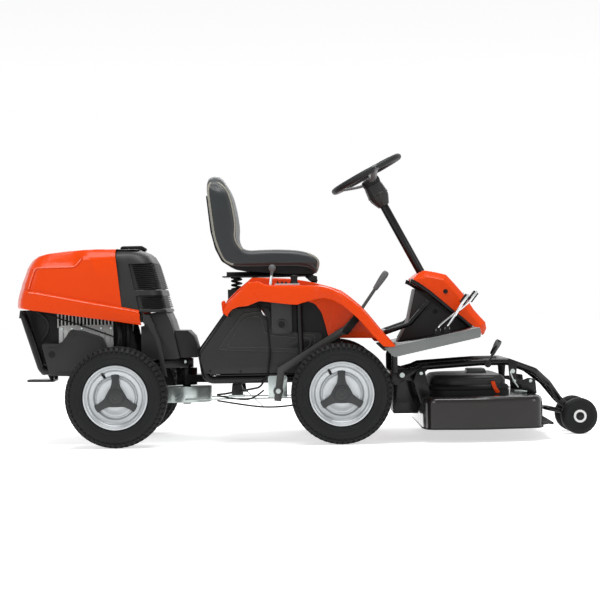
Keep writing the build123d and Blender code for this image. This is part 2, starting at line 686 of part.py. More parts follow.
# ---- Seat --------------------------------------------------------------------------------------------
BASE_Z = 602
with BuildPart() as seat_base:
    with BuildSketch(Plane.XY.offset(BASE_Z)):
        outline([(-305, -118), (-305, 118), (30, 118), (30, -118)])
    extrude(amount=5)
    for side in SIDES:
        with BuildSketch(Plane.XZ.offset(-side * 103)):
            outline([(6, BASE_Z + 2), (HINGE[0] - 9, HINGE[1] - 4), (HINGE[0], HINGE[1] - 9), (HINGE[0] + 9, HINGE[1] - 4),
                     (HINGE[0] + 9, HINGE[1] + 10), (28, BASE_Z + 4)])
            with Locations(HINGE):
                Circle(HINGE_PIN_R + RUN, mode=Mode.SUBTRACT)
        extrude(amount=-side * 6)
        with BuildSketch(Plane.XZ.offset(-side * 70)):
            outline([(-290, BASE_Z + 3), (16, BASE_Z + 3), (16, BASE_Z + 20), (-290, BASE_Z + 20)])
        extrude(amount=-side * 26)
save(seat_base, "seat_base")

with BuildPart() as seat_springs:
    for side in SIDES:
        with BuildSketch(Plane.XY.offset(CUP_TOP + SEAT_GAP)):
            with Locations((SPRING_X, side * SPRING_Y)):
                Circle(19)
        extrude(amount=BASE_Z - CUP_TOP - 2 * SEAT_GAP)
save(seat_springs, "seat_springs")

PAN_Z = BASE_Z + 20 + SEAT_GAP
with BuildPart() as seat_pan:
    with BuildSketch(Plane.XY.offset(PAN_Z)):
        outline([(-318, -170), (-318, 170), (24, 170), (24, -170)])
    extrude(amount=14)
    for side in SIDES:
        with BuildSketch(Plane.XZ.offset(-side * (96 + SEAT_GAP))):
            outline([(-230, PAN_Z + 4), (-230, BASE_Z + 9), (-20, BASE_Z + 9), (-20, PAN_Z + 4)])
        extrude(amount=-side * 6)
    with BuildSketch(Plane.XZ.offset(-150)):
        outline([(-318, PAN_Z + 2), (-306, PAN_Z + 2), (-319, 760), (-331, 760)])
    extrude(amount=300)
save(seat_pan, "seat_pan")

CUSHION_Z = PAN_Z + 14 + SEAT_GAP
cushion_side = [(-232, CUSHION_Z), (30, CUSHION_Z), (46, 648), (57, 660), (52, 668), (38, 676), (11, 688), (-34, 698), (-102, 701),
                (-166, 700), (-219, 694), (-238, 690)]
with BuildPart() as seat_cushion:
    with BuildSketch(Plane.XZ.offset(-SEAT_HALF)):
        outline(cushion_side)
    extrude(amount=2 * SEAT_HALF)
    with BuildSketch(Plane.XY.offset(CUSHION_Z)):
        with Locations((-100, 0)):
            RectangleRounded(314, 2 * SEAT_HALF, 30)
    extrude(amount=90, mode=Mode.INTERSECT)
save(seat_cushion, "seat_cushion")
back_side = [(-305, CUSHION_Z), (-245, CUSHION_Z), (-244, 700), (-250, 738), (-244, 779), (-245, 809), (-257, 877), (-271, 927),
             (-290, 957), (-306, 978), (-342, 981), (-354, 959), (-354, 925), (-347, 838), (-335, 762)]
with BuildPart() as seat_back:
    with BuildSketch(Plane.XZ.offset(-SEAT_HALF)):
        outline(back_side)
    extrude(amount=2 * SEAT_HALF)
    with BuildSketch(Plane.YZ.offset(-370)):
        with Locations((0, 781)):
            RectangleRounded(2 * SEAT_HALF, 400, 60)
    extrude(amount=140, mode=Mode.INTERSECT)
    with BuildSketch(Plane.XZ.offset(-151)):
        outline([(-340, CUSHION_Z - 2), (-305.7, CUSHION_Z - 2), (-318, 764), (-350, 764)])
    extrude(amount=302, mode=Mode.SUBTRACT)
save(seat_back, "seat_back")

# ---- Rear chassis ------------------------------------------------------------------------------------
REAR_TUBE_Y = 190
REAR_TUBE_R = 13.5
HOOD_PIN = (-1035, 482)
NECK_LOW, NECK_HIGH = 270, 304
with BuildPart() as rear_frame:
    for side in SIDES:
        add(bent_tube(
            [(-1030, side * REAR_TUBE_Y, 478), (-1012, side * REAR_TUBE_Y, 419), (-962, side * REAR_TUBE_Y, 262),
             (-905, side * REAR_TUBE_Y, 287), (-620, side * REAR_TUBE_Y, 287), (-540, side * 60, 287)], 24, REAR_TUBE_R))
        with BuildSketch(Plane.XZ.offset(-side * (REAR_TUBE_Y - 4))):
            outline([(-1046, 466), (-1022, 462), (-1020, 486), (-1028, 494), (-1042, 494)])
        extrude(amount=-side * 8)
        with BuildSketch(Plane.XZ.offset(-side * (REAR_TUBE_Y - 4))):
            with Locations(HOOD_PIN):
                Circle(5)
        extrude(amount=-side * 30)
        with BuildSketch(Plane.XZ.offset(-side * 200)):
            outline([(-963, 370), (-891, 369), (-857, 419), (-812, 415), (-740, 390), (-700, 300), (-700, 240), (-825, 252),
                     (-875, 254), (-935, 255)])
            with Locations((-926, 332)):
                Circle(12, mode=Mode.SUBTRACT)
        extrude(amount=-side * 5)
    with BuildSketch(Plane.XY.offset(NECK_LOW)):
        outline([(-560, -76), (-560, 76), (-440, 50), (-424, 30), (-424, -30), (-440, -50)])
    extrude(amount=NECK_HIGH - NECK_LOW)
    with BuildSketch(Plane.XY.offset(292)):
        outline([(-960, -196), (-960, 196), (-620, 196), (-620, -196)])
    extrude(amount=6)
    with BuildSketch(Plane.XY.offset(DRUM_BOTTOM - 8)):
        with Locations((PIVOT_X, 0)):
            Circle(PIN_R)
    extrude(amount=NECK_LOW + 10 - DRUM_BOTTOM + 8)
    with BuildSketch(Plane.XZ.offset(-REAR_TUBE_Y)):
        with Locations((-958, 270)):
            Circle(REAR_TUBE_R)
    extrude(amount=2 * REAR_TUBE_Y)
save(rear_frame, "rear_frame")

with BuildPart() as steering_drum:
    with BuildSketch(Plane.XY.offset(DRUM_BOTTOM)):
        with Locations((PIVOT_X, 0)):
            Circle(DRUM_R)
            Circle(PIN_R + SEAT_GAP, mode=Mode.SUBTRACT)
    extrude(amount=DRUM_TOP - DRUM_BOTTOM)
save(steering_drum, "steering_drum")

TOW_PIN_R = 8
with BuildPart() as tow_plate:
    with BuildSketch(Plane.XY.offset(226)):
        outline([(-1042, -40), (-1042, 40), (-965, 70), (-940, 70), (-940, -70), (-965, -70)])
        with Locations((-1020, 0)):
            Circle(TOW_PIN_R, mode=Mode.SUBTRACT)
    extrude(amount=8)
    for side in SIDES:
        with BuildSketch(Plane.XZ.offset(-side * 56)):
            outline([(-952, 232), (-940, 232), (-940, 262), (-952, 270 - REAR_TUBE_R - SEAT_GAP), (-964, 256)])
        extrude(amount=-side * 10)
save(tow_plate, "tow_plate")

REAR_HUB_IN = WHEEL_Y + HUB_IN - 1
with BuildPart() as transaxle:
    with BuildSketch(Plane.XY.offset(118)):
        with Locations((REAR_AXLE_X, 0)):
            RectangleRounded(150, 240, 24)
    extrude(amount=148)
    with BuildSketch(Plane.XY.offset(150)):
        with Locations((REAR_AXLE_X + 87, 0)):
            Circle(42)
    extrude(amount=100)
    with BuildSketch(Plane.XZ.offset(-REAR_HUB_IN)):
        with Locations((REAR_AXLE_X, AXLE_Z)):
            Circle(27)
    extrude(amount=2 * REAR_HUB_IN)
    with BuildSketch(Plane.XZ.offset(-SPINDLE_END)):
        with Locations((REAR_AXLE_X, AXLE_Z)):
            Circle(SPINDLE_R)
    extrude(amount=2 * SPINDLE_END)
    for side in SIDES:
        with BuildSketch(Plane.XY.offset(AXLE_Z)):
            with Locations((REAR_AXLE_X, side * REAR_TUBE_Y)):
                Rectangle(50, 16)
        extrude(amount=287 - REAR_TUBE_R - SEAT_GAP - AXLE_Z)
save(transaxle, "transaxle")

ENGINE_X = -815
with BuildPart() as engine_block:
    with BuildSketch(Plane.XY.offset(298 + SEAT_GAP)):
        with Locations((ENGINE_X, 0)):
            RectangleRounded(210, 250, 20)
    extrude(amount=142)
    for k in range(7):
        with BuildSketch(Plane.XZ.offset(124 + 9 * k)):
            with Locations((ENGINE_X, 384)):
                Rectangle(150, 88)
        extrude(amount=5)
    with BuildSketch(Plane.XZ.offset(120)):
        with Locations((ENGINE_X, 384)):
            Rectangle(96, 66)
    extrude(amount=70)
save(engine_block, "engine_block")
with BuildPart() as engine_shroud:
    with BuildSketch(Plane.XY.offset(440 + 2 * SEAT_GAP)):
        with Locations((ENGINE_X, 0)):
            Circle(138)
    extrude(amount=110)
    with BuildSketch(Plane.XY.offset(550)):
        with Locations((ENGINE_X, 0)):
            Circle(112)
    extrude(amount=60, taper=20)
save(engine_shroud, "engine_shroud")
with BuildPart() as muffler:
    with BuildSketch(Plane.XY.offset(340)):
        with Locations((-970, 0)):
            RectangleRounded(70, 250, 28)
    extrude(amount=90)
    with BuildSketch(Plane.YZ.offset(ENGINE_X - 105 - SEAT_GAP)):
        with Locations((60, 400), (-60, 400)):
            Circle(14)
    extrude(amount=-30)
save(muffler, "muffler")
with BuildPart() as air_cleaner:
    with BuildSketch(Plane.XY.offset(440 + 2 * SEAT_GAP)):
        with Locations((-640, 0)):
            RectangleRounded(50, 170, 18)
    extrude(amount=90)
    with BuildSketch(Plane.YZ.offset(ENGINE_X + 105 + SEAT_GAP)):
        with Locations((0, 420)):
            Rectangle(60, 30)
    extrude(amount=60)
    with BuildSketch(Plane.XY.offset(410)):
        with Locations((-655, 0)):
            Rectangle(14, 60)
    extrude(amount=34)
save(air_cleaner, "air_cleaner")

# ---- Hood and fairing --------------------------------------------------------------------------------
hood_top = [(-1065, 498), (-1073, 509), (-1057, 562), (-1050, 597), (-1033, 647), (-1018, 669), (-993, 689), (-935, 702),
            (-867, 710), (-812, 714), (-688, 714), (-594, 706), (-568, 688), (-550, 653), (-545, 634), (-529, 576),
            (-515, 527), (-507, HOOD_BASE)]
hood_low = [(-596, 480), (-595, 433), (-671, 446), (-1026, 499)]
hood_section = [(HOOD_HALF - 4, 420), (HOOD_HALF, 540), (HOOD_HALF - 24, 560), (224, 650), (206, 692), (180, 716)]


def hood_volume(inset):
    """The hood's solid envelope, or its cavity when inset by the wall."""
    with BuildPart() as volume:
        with BuildSketch(Plane.XZ.offset(-300)):
            if inset:
                outline(hood_top + [(-507, 300), (-1065, 300)])
                offset(amount=-inset)
            else:
                outline(hood_top + hood_low)
        extrude(amount=600)
        with BuildSketch(Plane.YZ.offset(-1100)):
            outline([(y - inset, z - inset) for y, z in hood_section] + [(inset - y, z - inset) for y, z in reversed(hood_section)])
        extrude(amount=700, mode=Mode.INTERSECT)
    return volume.part


grille_region = [(-692, 740), (-666, 492), (-600, 478.5), (-480, 478.5), (-480, 740)]
envelope = hood_volume(0)
cavity = hood_volume(SKIN)
with BuildPart() as hood_shell:
    add(envelope)
    add(cavity, mode=Mode.SUBTRACT)
    with BuildSketch(Plane.XZ.offset(-320)):
        outline(grille_region)
    extrude(amount=640, mode=Mode.SUBTRACT)
    for side in SIDES:
        with BuildSketch(Plane.XZ.offset(-side * 206)):
            outline([(-1046, 480), (-1035, 471), (-1024, 480), (-1012, 560), (-1056, 560)])
            with Locations(HOOD_PIN):
                Circle(5 + RUN, mode=Mode.SUBTRACT)
        extrude(amount=-side * 6)
save(hood_shell, "hood_shell")
with BuildPart() as hood_grille:
    add(envelope)
    add(cavity, mode=Mode.SUBTRACT)
    with BuildSketch(Plane.XZ.offset(-320)):
        outline([(-692 + 0.3, 740), (-666 + 0.3, 492.3), (-600, 478.8), (-480, 478.8), (-480, 740)])
    extrude(amount=640, mode=Mode.INTERSECT)
save(hood_grille, "hood_grille")
with BuildPart() as hood_latch:
    with BuildSketch(Plane.XZ.offset(-28)):
        outline([(-688, 714.4), (-594, 706.4), (-590, 716), (-608, 727), (-680, 727), (-688, 722)])
    extrude(amount=56)
save(hood_latch, "hood_latch")

FAIRING_HALF = 192
ARM_IN = 252
ARM_OUT = 265
fairing_front = [(-512, 483), (-495, 445), (-484, 408), (-463, 310), (-476, 306), (-602, 306), (-602, 428), (-590, 430), (-588, 473)]
with BuildPart() as fairing:
    with BuildSketch(Plane.XZ.offset(-FAIRING_HALF)):
        outline(fairing_front)
    extrude(amount=2 * FAIRING_HALF)
    with BuildSketch(Plane.XZ.offset(-(FAIRING_HALF - SKIN))):
        outline(fairing_front[:4] + [(-463, 200), (-700, 200), (-700, 424), (-586, 426), (-584, 478)])
        offset(amount=-SKIN)
    extrude(amount=2 * (FAIRING_HALF - SKIN), mode=Mode.SUBTRACT)
    for side in SIDES:
        with BuildSketch(Plane.XZ.offset(-side * (FAIRING_HALF - 2))):
            outline([(-588, 473), (-566, 469), (-546, 430), (-560, 430), (-572, 462), (-588, 466)])
        extrude(amount=-side * (ARM_OUT - FAIRING_HALF + 2))
        with BuildSketch(Plane.XZ.offset(-side * ARM_IN)):
            outline([(-588, 473), (-564, 469), (-529, 379), (-519, 329), (-504, 246), (-522, 250), (-536, 330), (-546, 384),
                     (-575, 436), (-588, 440)])
        extrude(amount=-side * (ARM_OUT - ARM_IN))
    with BuildSketch(Plane.XZ.offset(-110)):
        outline([(-486, 410), (-436, 409), (-414, 386), (-402, 341), (-403, 309), (-470, 309)])
    extrude(amount=220)
    with BuildSketch(Plane.XY.offset(NECK_HIGH + SEAT_GAP)):
        with Locations((-452, 0)):
            Rectangle(40, 60)
    extrude(amount=8)
save(fairing, "fairing")

# ---- Deck frame --------------------------------------------------------------------------------------
HANGER_X = 751
with BuildPart() as deck_frame:
    for side in SIDES:
        add(bent_tube([(378, side * DECK_TUBE_Y, 240), (425, side * DECK_TUBE_Y, 262), (634, side * DECK_TUBE_Y, 275),
                       (738, side * DECK_TUBE_Y, 275), (836, side * 150, 238), (892, side * 84, 190), (SUPPORT_X - 68, side * 40, 128),
                       (SUPPORT_X - 6, side * 40, 72)], 22, DECK_TUBE_R))
        with BuildSketch(Plane.XZ.offset(-side * 184)):
            outline([(DECK_PIVOT[0], DECK_PIVOT[1] + 16), (440, 274), (440, 250), (392, 208), (DECK_PIVOT[0], DECK_PIVOT[1] - 16)])
            with Locations(DECK_PIVOT):
                Circle(16)
                Circle(PIVOT_PIN_R + RUN, mode=Mode.SUBTRACT)
        extrude(amount=-side * 7)
        with BuildSketch(Plane.XZ.offset(-side * 189)):
            outline([(HANGER_X - 17, 278), (HANGER_X + 17, 274), (HANGER_X + 10, 190), (HANGER_X - 10, 190)])
        extrude(amount=-side * 5)
    with BuildSketch(Plane.XZ.offset(-DECK_TUBE_Y)):
        with Locations((738, 275)):
            Circle(DECK_TUBE_R)
    extrude(amount=2 * DECK_TUBE_Y)
    add(bent_tube([(SUPPORT_X - 6, 40, 70), (SUPPORT_X - 118, 40, 96), (SUPPORT_X - 118, -40, 96), (SUPPORT_X - 6, -40, 70)], 20, 8))
    with BuildSketch(Plane.XZ.offset(-54)):
        with Locations((SUPPORT_X, SUPPORT_R)):
            Circle(17)
    extrude(amount=108)
    with BuildSketch(Plane.XZ.offset(-(SUPPORT_Y + SUPPORT_W / 2 + 3))):
        with Locations((SUPPORT_X, SUPPORT_R)):
            Circle(8)
    extrude(amount=2 * (SUPPORT_Y + SUPPORT_W / 2 + 3))
    with BuildSketch(Plane.XZ.offset(200)):
        with Locations((660, 268)):
            Circle(5)
    extrude(amount=12)
    with BuildSketch(Plane.XZ.offset(180)):
        with Locations((660, 268)):
            Circle(10)
    extrude(amount=20)
save(deck_frame, "deck_frame")

for side, name in ((-1, "right"), (1, "left")):
    with BuildPart() as support_wheel:
        with BuildSketch(Plane(origin=(SUPPORT_X, side * SUPPORT_Y, SUPPORT_R), x_dir=(0, side, 0), z_dir=(side, 0, 0))):
            half = SUPPORT_W / 2
            outline([(-half, 8 + RUN), (half, 8 + RUN), (half, 50), (half - 3, 60), (half - 10, SUPPORT_R),
                     (10 - half, SUPPORT_R), (3 - half, 60), (-half, 50)])
        revolve(axis=Axis((SUPPORT_X, side * SUPPORT_Y, SUPPORT_R), (0, 1, 0)))
    save(support_wheel, f"support_wheel_{name}")

with BuildPart() as height_lever:
    with BuildSketch(Plane.XZ.offset(201)):
        with Locations((660, 268)):
            Circle(12)
            Circle(5 + RUN, mode=Mode.SUBTRACT)
        outline([(662, 278), (668, 276), (684, 310), (676, 314)])
    extrude(amount=8)
    lean = Vector(28, 0, 50).normalized()
    with BuildSketch(Plane(origin=(675, -206, 304), z_dir=lean)):
        Ellipse(9, 12)
    extrude(amount=58)
save(height_lever, "height_lever")

deck_plan = [(412, 330), (430, 410), (600, DECK_HALF), (825, 405), (842, 330)]
deck_plan = deck_plan + [(x, -y) for x, y in reversed(deck_plan)]
with BuildPart() as deck_shell:
    with BuildSketch(Plane.XY.offset(DECK_BOTTOM)):
        outline(deck_plan)
    extrude(amount=DECK_TOP - DECK_BOTTOM)
    with BuildSketch(Plane.XY.offset(DECK_BOTTOM - 1)):
        outline(deck_plan)
        offset(amount=-DECK_WALL)
    extrude(amount=DECK_TOP - DECK_BOTTOM - DECK_WALL + 1, mode=Mode.SUBTRACT)
    with BuildSketch(Plane.XZ.offset(-330)):
        outline([(840, 76), (842, 82), (879, 58), (877, 50), (840, 66)])
    extrude(amount=660)
    for side in SIDES:
        with BuildSketch(Plane.XY.offset(DECK_TOP - 46)):
            with Locations((SPINDLE_X, side * SPINDLE_Y)):
                Circle(30)
        extrude(amount=44)
        with BuildSketch(Plane.XY.offset(DECK_TOP - 60)):
            with Locations((SPINDLE_X, side * SPINDLE_Y)):
                Circle(10 + RUN)
        extrude(amount=80, mode=Mode.SUBTRACT)
        with BuildSketch(Plane.XZ.offset(-side * (194 + SEAT_GAP))):
            outline([(784, DECK_TOP - 2), (837, DECK_TOP - 2), (832, 212), (806, 220), (788, 214), (744, 214), (744, 206), (784, 196)])
        extrude(amount=-side * 5)
        with BuildSketch(Plane.XZ.offset(-side * 226)):
            outline([(403, 258), (428, 252), (444, 174), (440, 140), (413, 125), (387, 211)])
        extrude(amount=-side * 5)
save(deck_shell, "deck_shell")

for side, name in ((-1, "right"), (1, "left")):
    with BuildPart() as blade:
        with BuildSketch(Plane.XY.offset(DECK_TOP - 52)):
            with Locations((SPINDLE_X, side * SPINDLE_Y)):
                Circle(24)
        extrude(amount=-40)
        with BuildSketch(Plane.XY.offset(DECK_TOP - 52)):
            with Locations((SPINDLE_X, side * SPINDLE_Y)):
                Circle(10)
        extrude(amount=58)
        with BuildSketch(Plane.XY.offset(64)):
            with Locations(Location((SPINDLE_X, side * SPINDLE_Y, 0), (0, 0, 20 * side))):
                Rectangle(50, 2 * BLADE_R - 14)
        extrude(amount=4)
    save(blade, f"blade_{name}")

BELT_Z = DECK_TOP + SEAT_GAP
with BuildPart() as belt_cover:
    with BuildSketch(Plane.XY.offset(BELT_Z)):
        outline([(437, -215), (437, 215), (500, 262), (700, 262), (735, 225), (735, -225), (700, -262), (500, -262)])
    extrude(amount=36)
    with BuildSketch(Plane.XY.offset(196)):
        outline([(452, -160), (452, 160), (520, 238), (690, 238), (724, 200), (724, -200), (690, -238), (520, -238)])
    extrude(amount=35)
    with BuildSketch(Plane.XY.offset(BELT_Z)):
        outline([(441, -213), (441, 213), (502, 258), (698, 258), (731, 223), (731, -223), (698, -258), (502, -258)])
    extrude(amount=32, mode=Mode.SUBTRACT)
    with BuildSketch(Plane.XY.offset(229)):
        with Locations((632, 0)):
            Rectangle(78, 90)
    extrude(amount=19)
save(belt_cover, "belt_cover")

# ---- Steering wire and control cable -----------------------------------------------------------------
WIRE_R = 2.5
WIRE_Y = DRUM_R + SEAT_GAP + WIRE_R
with BuildPart() as steering_wire:
    add(bent_tube([(PIVOT_X, WIRE_Y, 153), (300, WIRE_Y, 153), (300, -WIRE_Y, 153), (PIVOT_X, -WIRE_Y, 153)], 60, WIRE_R))
    for side in SIDES:
        with BuildSketch(Plane.XY.offset(153)):
            with Locations((FRONT_AXLE_X, side * WIRE_Y)):
                Rectangle(16, 16)
        extrude(amount=AXLE_Z - AXLE_TUBE_R - SEAT_GAP - 153)
save(steering_wire, "steering_wire")

CABLE_Y = PANEL_Y + 2 * SKIN + 3.9  # beside the side panel's raised field
with BuildPart() as control_cable:
    add(bent_tube([(-172, -CABLE_Y, 500), (-140, -CABLE_Y, 440), (-132, -CABLE_Y, 330), (-141, -CABLE_Y, 248), (-170, 5 - CABLE_Y, 200), (-300, -180, 176),
                   (-330, -150, 172)], 30, 3.5))
save(control_cable, "control_cable")
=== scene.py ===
import math

import bmesh
import bpy
from mathutils import Matrix, Vector


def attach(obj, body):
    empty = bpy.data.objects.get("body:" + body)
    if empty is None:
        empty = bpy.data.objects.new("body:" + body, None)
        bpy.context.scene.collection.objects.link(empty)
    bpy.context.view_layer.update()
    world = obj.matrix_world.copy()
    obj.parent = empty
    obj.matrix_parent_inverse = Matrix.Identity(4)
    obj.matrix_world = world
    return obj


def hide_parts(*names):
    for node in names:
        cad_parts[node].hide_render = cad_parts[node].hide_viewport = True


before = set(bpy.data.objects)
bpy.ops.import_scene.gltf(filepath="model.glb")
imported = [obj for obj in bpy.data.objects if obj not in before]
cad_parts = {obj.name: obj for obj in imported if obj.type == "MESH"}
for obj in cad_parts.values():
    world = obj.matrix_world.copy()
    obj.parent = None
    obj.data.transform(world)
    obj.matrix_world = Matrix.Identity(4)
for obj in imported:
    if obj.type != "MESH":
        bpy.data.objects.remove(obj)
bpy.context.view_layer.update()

# ---- Studio ------------------------------------------------------------------------------------------
# A pale seamless paper floor under four large soft boxes: one above, one behind, and one at each end of the side in
# view. A long lens, a little below seat height, looks square at the right-hand side.
MM = 0.001


def linear(code):
    """An sRGB hex colour as linear RGBA."""
    parts = [int(code[i:i + 2], 16) / 255 for i in (1, 3, 5)]
    return tuple(c / 12.92 if c <= 0.04045 else ((c + 0.055) / 1.055) ** 2.4 for c in parts) + (1.0,)


def put(tree, kind, inputs=None, **settings):
    """Adds one node with its settings, values and links."""
    made = tree.nodes.new(kind)
    for key, value in settings.items():
        setattr(made, key, value)
    for key, value in (inputs or {}).items():
        if isinstance(value, bpy.types.NodeSocket):
            tree.links.new(value, made.inputs[key])
        else:
            made.inputs[key].default_value = value
    return made


CAMERA_PLACE, CAMERA_ROLL, FOCAL_LENGTH = (-0.020, -7.1, 0.514), -0.018, 113.6
lens = bpy.data.cameras.new("long_lens")
lens.lens = FOCAL_LENGTH
camera = bpy.data.objects.new("camera", lens)
camera.matrix_world = (Matrix.Translation(CAMERA_PLACE) @ Matrix.Rotation(math.pi / 2, 4, "X")
                       @ Matrix.Rotation(CAMERA_ROLL, 4, "Z"))
bpy.context.scene.collection.objects.link(camera)
bpy.context.scene.camera = camera

world = bpy.data.worlds.new("studio_air")
bpy.context.scene.world = world
world.use_nodes = True
world.node_tree.nodes.clear()
air = world.node_tree
way = put(air, "ShaderNodeTexCoord").outputs["Generated"]
height = put(air, "ShaderNodeSeparateXYZ", {"Vector": way}).outputs["Z"]
dim = put(air, "ShaderNodeMapRange", {"Value": height, "From Min": 0.12, "From Max": 0.7, "To Min": 1.0,
                                      "To Max": 0.42})
sky = put(air, "ShaderNodeBackground", {"Color": linear("#FFFFFF"), "Strength": dim.outputs["Result"]})
put(air, "ShaderNodeOutputWorld", {"Surface": sky.outputs[0]})

for name, place, aim, size, watts in (
    ("box_over", (0.0, -0.6, 4.2), (0, 0, 0.4), (3.4, 1.6), 150),
    ("box_rear_right", (-3.6, -3.4, 2.6), (-0.5, 0, 0.5), (1.8, 1.8), 34),
    ("box_front_right", (3.8, -3.0, 2.2), (0.5, 0, 0.5), (1.4, 1.8), 26),
    ("box_behind", (0.0, 4.0, 3.0), (0, 0, 0.5), (4.0, 2.0), 60),
):
    light = bpy.data.lights.new(name, "AREA")
    light.shape, light.size, light.size_y, light.energy = "RECTANGLE", size[0], size[1], watts
    lamp = bpy.data.objects.new(name, light)
    lamp.location = place
    lamp.rotation_euler = (Vector(aim) - Vector(place)).to_track_quat("-Z", "Y").to_euler()
    bpy.context.scene.collection.objects.link(lamp)

paper = bpy.data.materials.new("seamless_paper")
paper.use_nodes = True
for key, value in (("Base Color", linear("#E2E2E2")), ("Roughness", 0.9),
                   ("Emission Color", linear("#FFFFFF")), ("Emission Strength", 0.6)):
    paper.node_tree.nodes["Principled BSDF"].inputs[key].default_value = value
bpy.context.scene.view_settings.view_transform = "Standard"
floor_mesh = bpy.data.meshes.new("floor")
floor_mesh.from_pydata([(-30, -30, 0), (30, -30, 0), (30, 30, 0), (-30, 30, 0)], [], [(0, 1, 2, 3)])
floor_mesh.materials.append(paper)
floor = bpy.data.objects.new("floor", floor_mesh)
bpy.context.scene.collection.objects.link(floor)


# ---- Tyres -------------------------------------------------------------------------------------------
# Turf tyres: one black rubber carcass moulded with rows of separate square lugs. The mould leaves them matt,
# with a faint grey bloom and fine rings on the side wall.
def finish(name, dark, light, metallic=0.0, rough=(0.4, 0.5), grain=2.0, relief=0.1, drift=60.0, **sockets):
    """A finish whose colour and gloss drift slowly between two values, over a fine grain in millimetres."""
    made = bpy.data.materials.new(name)
    made.use_nodes = True
    tree = made.node_tree
    tree.nodes.clear()
    where = put(tree, "ShaderNodeTexCoord").outputs["Object"]
    slow = put(tree, "ShaderNodeTexNoise", {"Vector": where, "Scale": 1000 / drift, "Detail": 4.0})
    fine = put(tree, "ShaderNodeTexNoise", {"Vector": where, "Scale": 1000 / grain, "Detail": 3.0})
    tone = put(tree, "ShaderNodeMix", {"Factor": slow.outputs["Fac"]}, data_type="RGBA")
    for socket, value in zip([s for s in tone.inputs if s.type == "RGBA"], (dark, light)):
        socket.default_value = linear(value)
    gloss = put(tree, "ShaderNodeMapRange", {"Value": slow.outputs["Fac"], "From Min": 0.3, "From Max": 0.7,
                                             "To Min": rough[0], "To Max": rough[1]})
    lift = put(tree, "ShaderNodeBump", {"Height": fine.outputs["Fac"], "Strength": 1.0, "Distance": relief * MM})
    colour = [s for s in tone.outputs if s.type == "RGBA"][0]
    shader = put(tree, "ShaderNodeBsdfPrincipled", {"Base Color": colour, "Roughness": gloss.outputs["Result"],
                                                    "Normal": lift.outputs["Normal"], "Metallic": metallic})
    for key, value in sockets.items():
        shader.inputs[key.replace("_", " ")].default_value = value
    put(tree, "ShaderNodeOutputMaterial", {"Surface": shader.outputs[0]})
    return made


def piece(name, shape, material, body, nodes=(), smooth=35):
    """Makes a piece of a bmesh, in the row frame and in metres, and hands it to its body."""
    mesh = bpy.data.meshes.new(name)
    shape.to_mesh(mesh)
    shape.free()
    mesh.materials.append(material)
    mesh.shade_smooth()
    mesh.set_sharp_from_angle(angle=math.radians(smooth))
    made = bpy.data.objects.new(name, mesh)
    bpy.context.scene.collection.objects.link(made)
    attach(made, body)
    if nodes:
        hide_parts(*nodes)
    return made


def settle(made, smooth=None):
    """Turns a piece's modifiers into plain mesh. With an angle in degrees, it is shaded smooth up to there."""
    bpy.context.view_layer.update()
    done = bpy.data.meshes.new_from_object(made.evaluated_get(bpy.context.evaluated_depsgraph_get()))
    made.modifiers.clear()
    made.data = done
    if smooth:
        made.data.shade_smooth()
        made.data.set_sharp_from_angle(angle=math.radians(smooth))


def growing_tree(name, inputs, on_mesh=True):
    """A new Geometry Nodes tree with named inputs, and the outputs of its input node."""
    tree = bpy.data.node_groups.new(name, "GeometryNodeTree")
    for label, kind in ([("Geometry", "Geometry")] if on_mesh else []) + inputs:
        tree.interface.new_socket(label, in_out="INPUT", socket_type="NodeSocket" + kind)
    tree.interface.new_socket("Geometry", in_out="OUTPUT", socket_type="NodeSocketGeometry")
    return tree, put(tree, "NodeGroupInput").outputs


def grow(made, tree, values):
    """Puts a tree on a piece and sets its inputs, each by its identifier."""
    maker = made.modifiers.new(tree.name, "NODES")
    maker.node_group = tree
    for socket in tree.interface.items_tree:
        if socket.in_out == "INPUT" and socket.name in values:
            maker[socket.identifier] = values[socket.name]


def worn(made, width, segments=1, angle=None):
    """Rounds a piece's edges by a width in millimetres, or only those sharper than an angle in degrees."""
    soft = made.modifiers.new("worn_edges", "BEVEL")
    soft.width, soft.segments = width * MM, segments
    if angle:
        soft.limit_method, soft.angle_limit = "ANGLE", math.radians(angle)


def turned(shape, profile, centre, out, steps=96):
    """Adds a closed section, as (distance outboard, radius) in millimetres, turned about a wheel's axle."""
    rings = []
    for k in range(steps):
        a = 2 * math.pi * k / steps
        rings.append([shape.verts.new((centre[0] + r * math.cos(a) * MM, centre[1] + out * w * MM,
                                       centre[2] + r * math.sin(a) * MM)) for w, r in profile])
    n = len(profile)
    for k in range(steps):
        one, two = rings[k], rings[(k + 1) % steps]
        for j in range(n):
            shape.faces.new((one[j], one[(j + 1) % n], two[(j + 1) % n], two[j]))
    return shape


# One ring of lugs: blocks on a circle, leant and tilted, moved across the tread and stood upright on the axle.
lug_tree, given = growing_tree("tread_row", [
    ("Count", "Int"), ("Radius", "Float"), ("Across", "Float"), ("Phase", "Float"), ("Lean", "Float"),
    ("Tilt", "Float"), ("Size", "Vector"), ("Centre", "Vector"), ("Rubber", "Material")])
ring = put(lug_tree, "GeometryNodeMeshCircle", {"Vertices": given["Count"], "Radius": given["Radius"]})
lug = put(lug_tree, "GeometryNodeMeshCube", {"Size": given["Size"]})
place = put(lug_tree, "GeometryNodeInputPosition").outputs[0]
outward = put(lug_tree, "FunctionNodeAlignRotationToVector", {"Vector": place}, axis="X", pivot_axis="Z")
row = put(lug_tree, "GeometryNodeInstanceOnPoints", {"Points": ring.outputs["Mesh"], "Instance": lug.outputs["Mesh"],
                                                     "Rotation": outward.outputs[0]})
turn = put(lug_tree, "ShaderNodeCombineXYZ", {"X": given["Lean"], "Y": given["Tilt"]})
leant = put(lug_tree, "GeometryNodeRotateInstances", {"Instances": row.outputs[0], "Rotation": turn.outputs[0]})
aside = put(lug_tree, "ShaderNodeCombineXYZ", {"Z": given["Across"]})
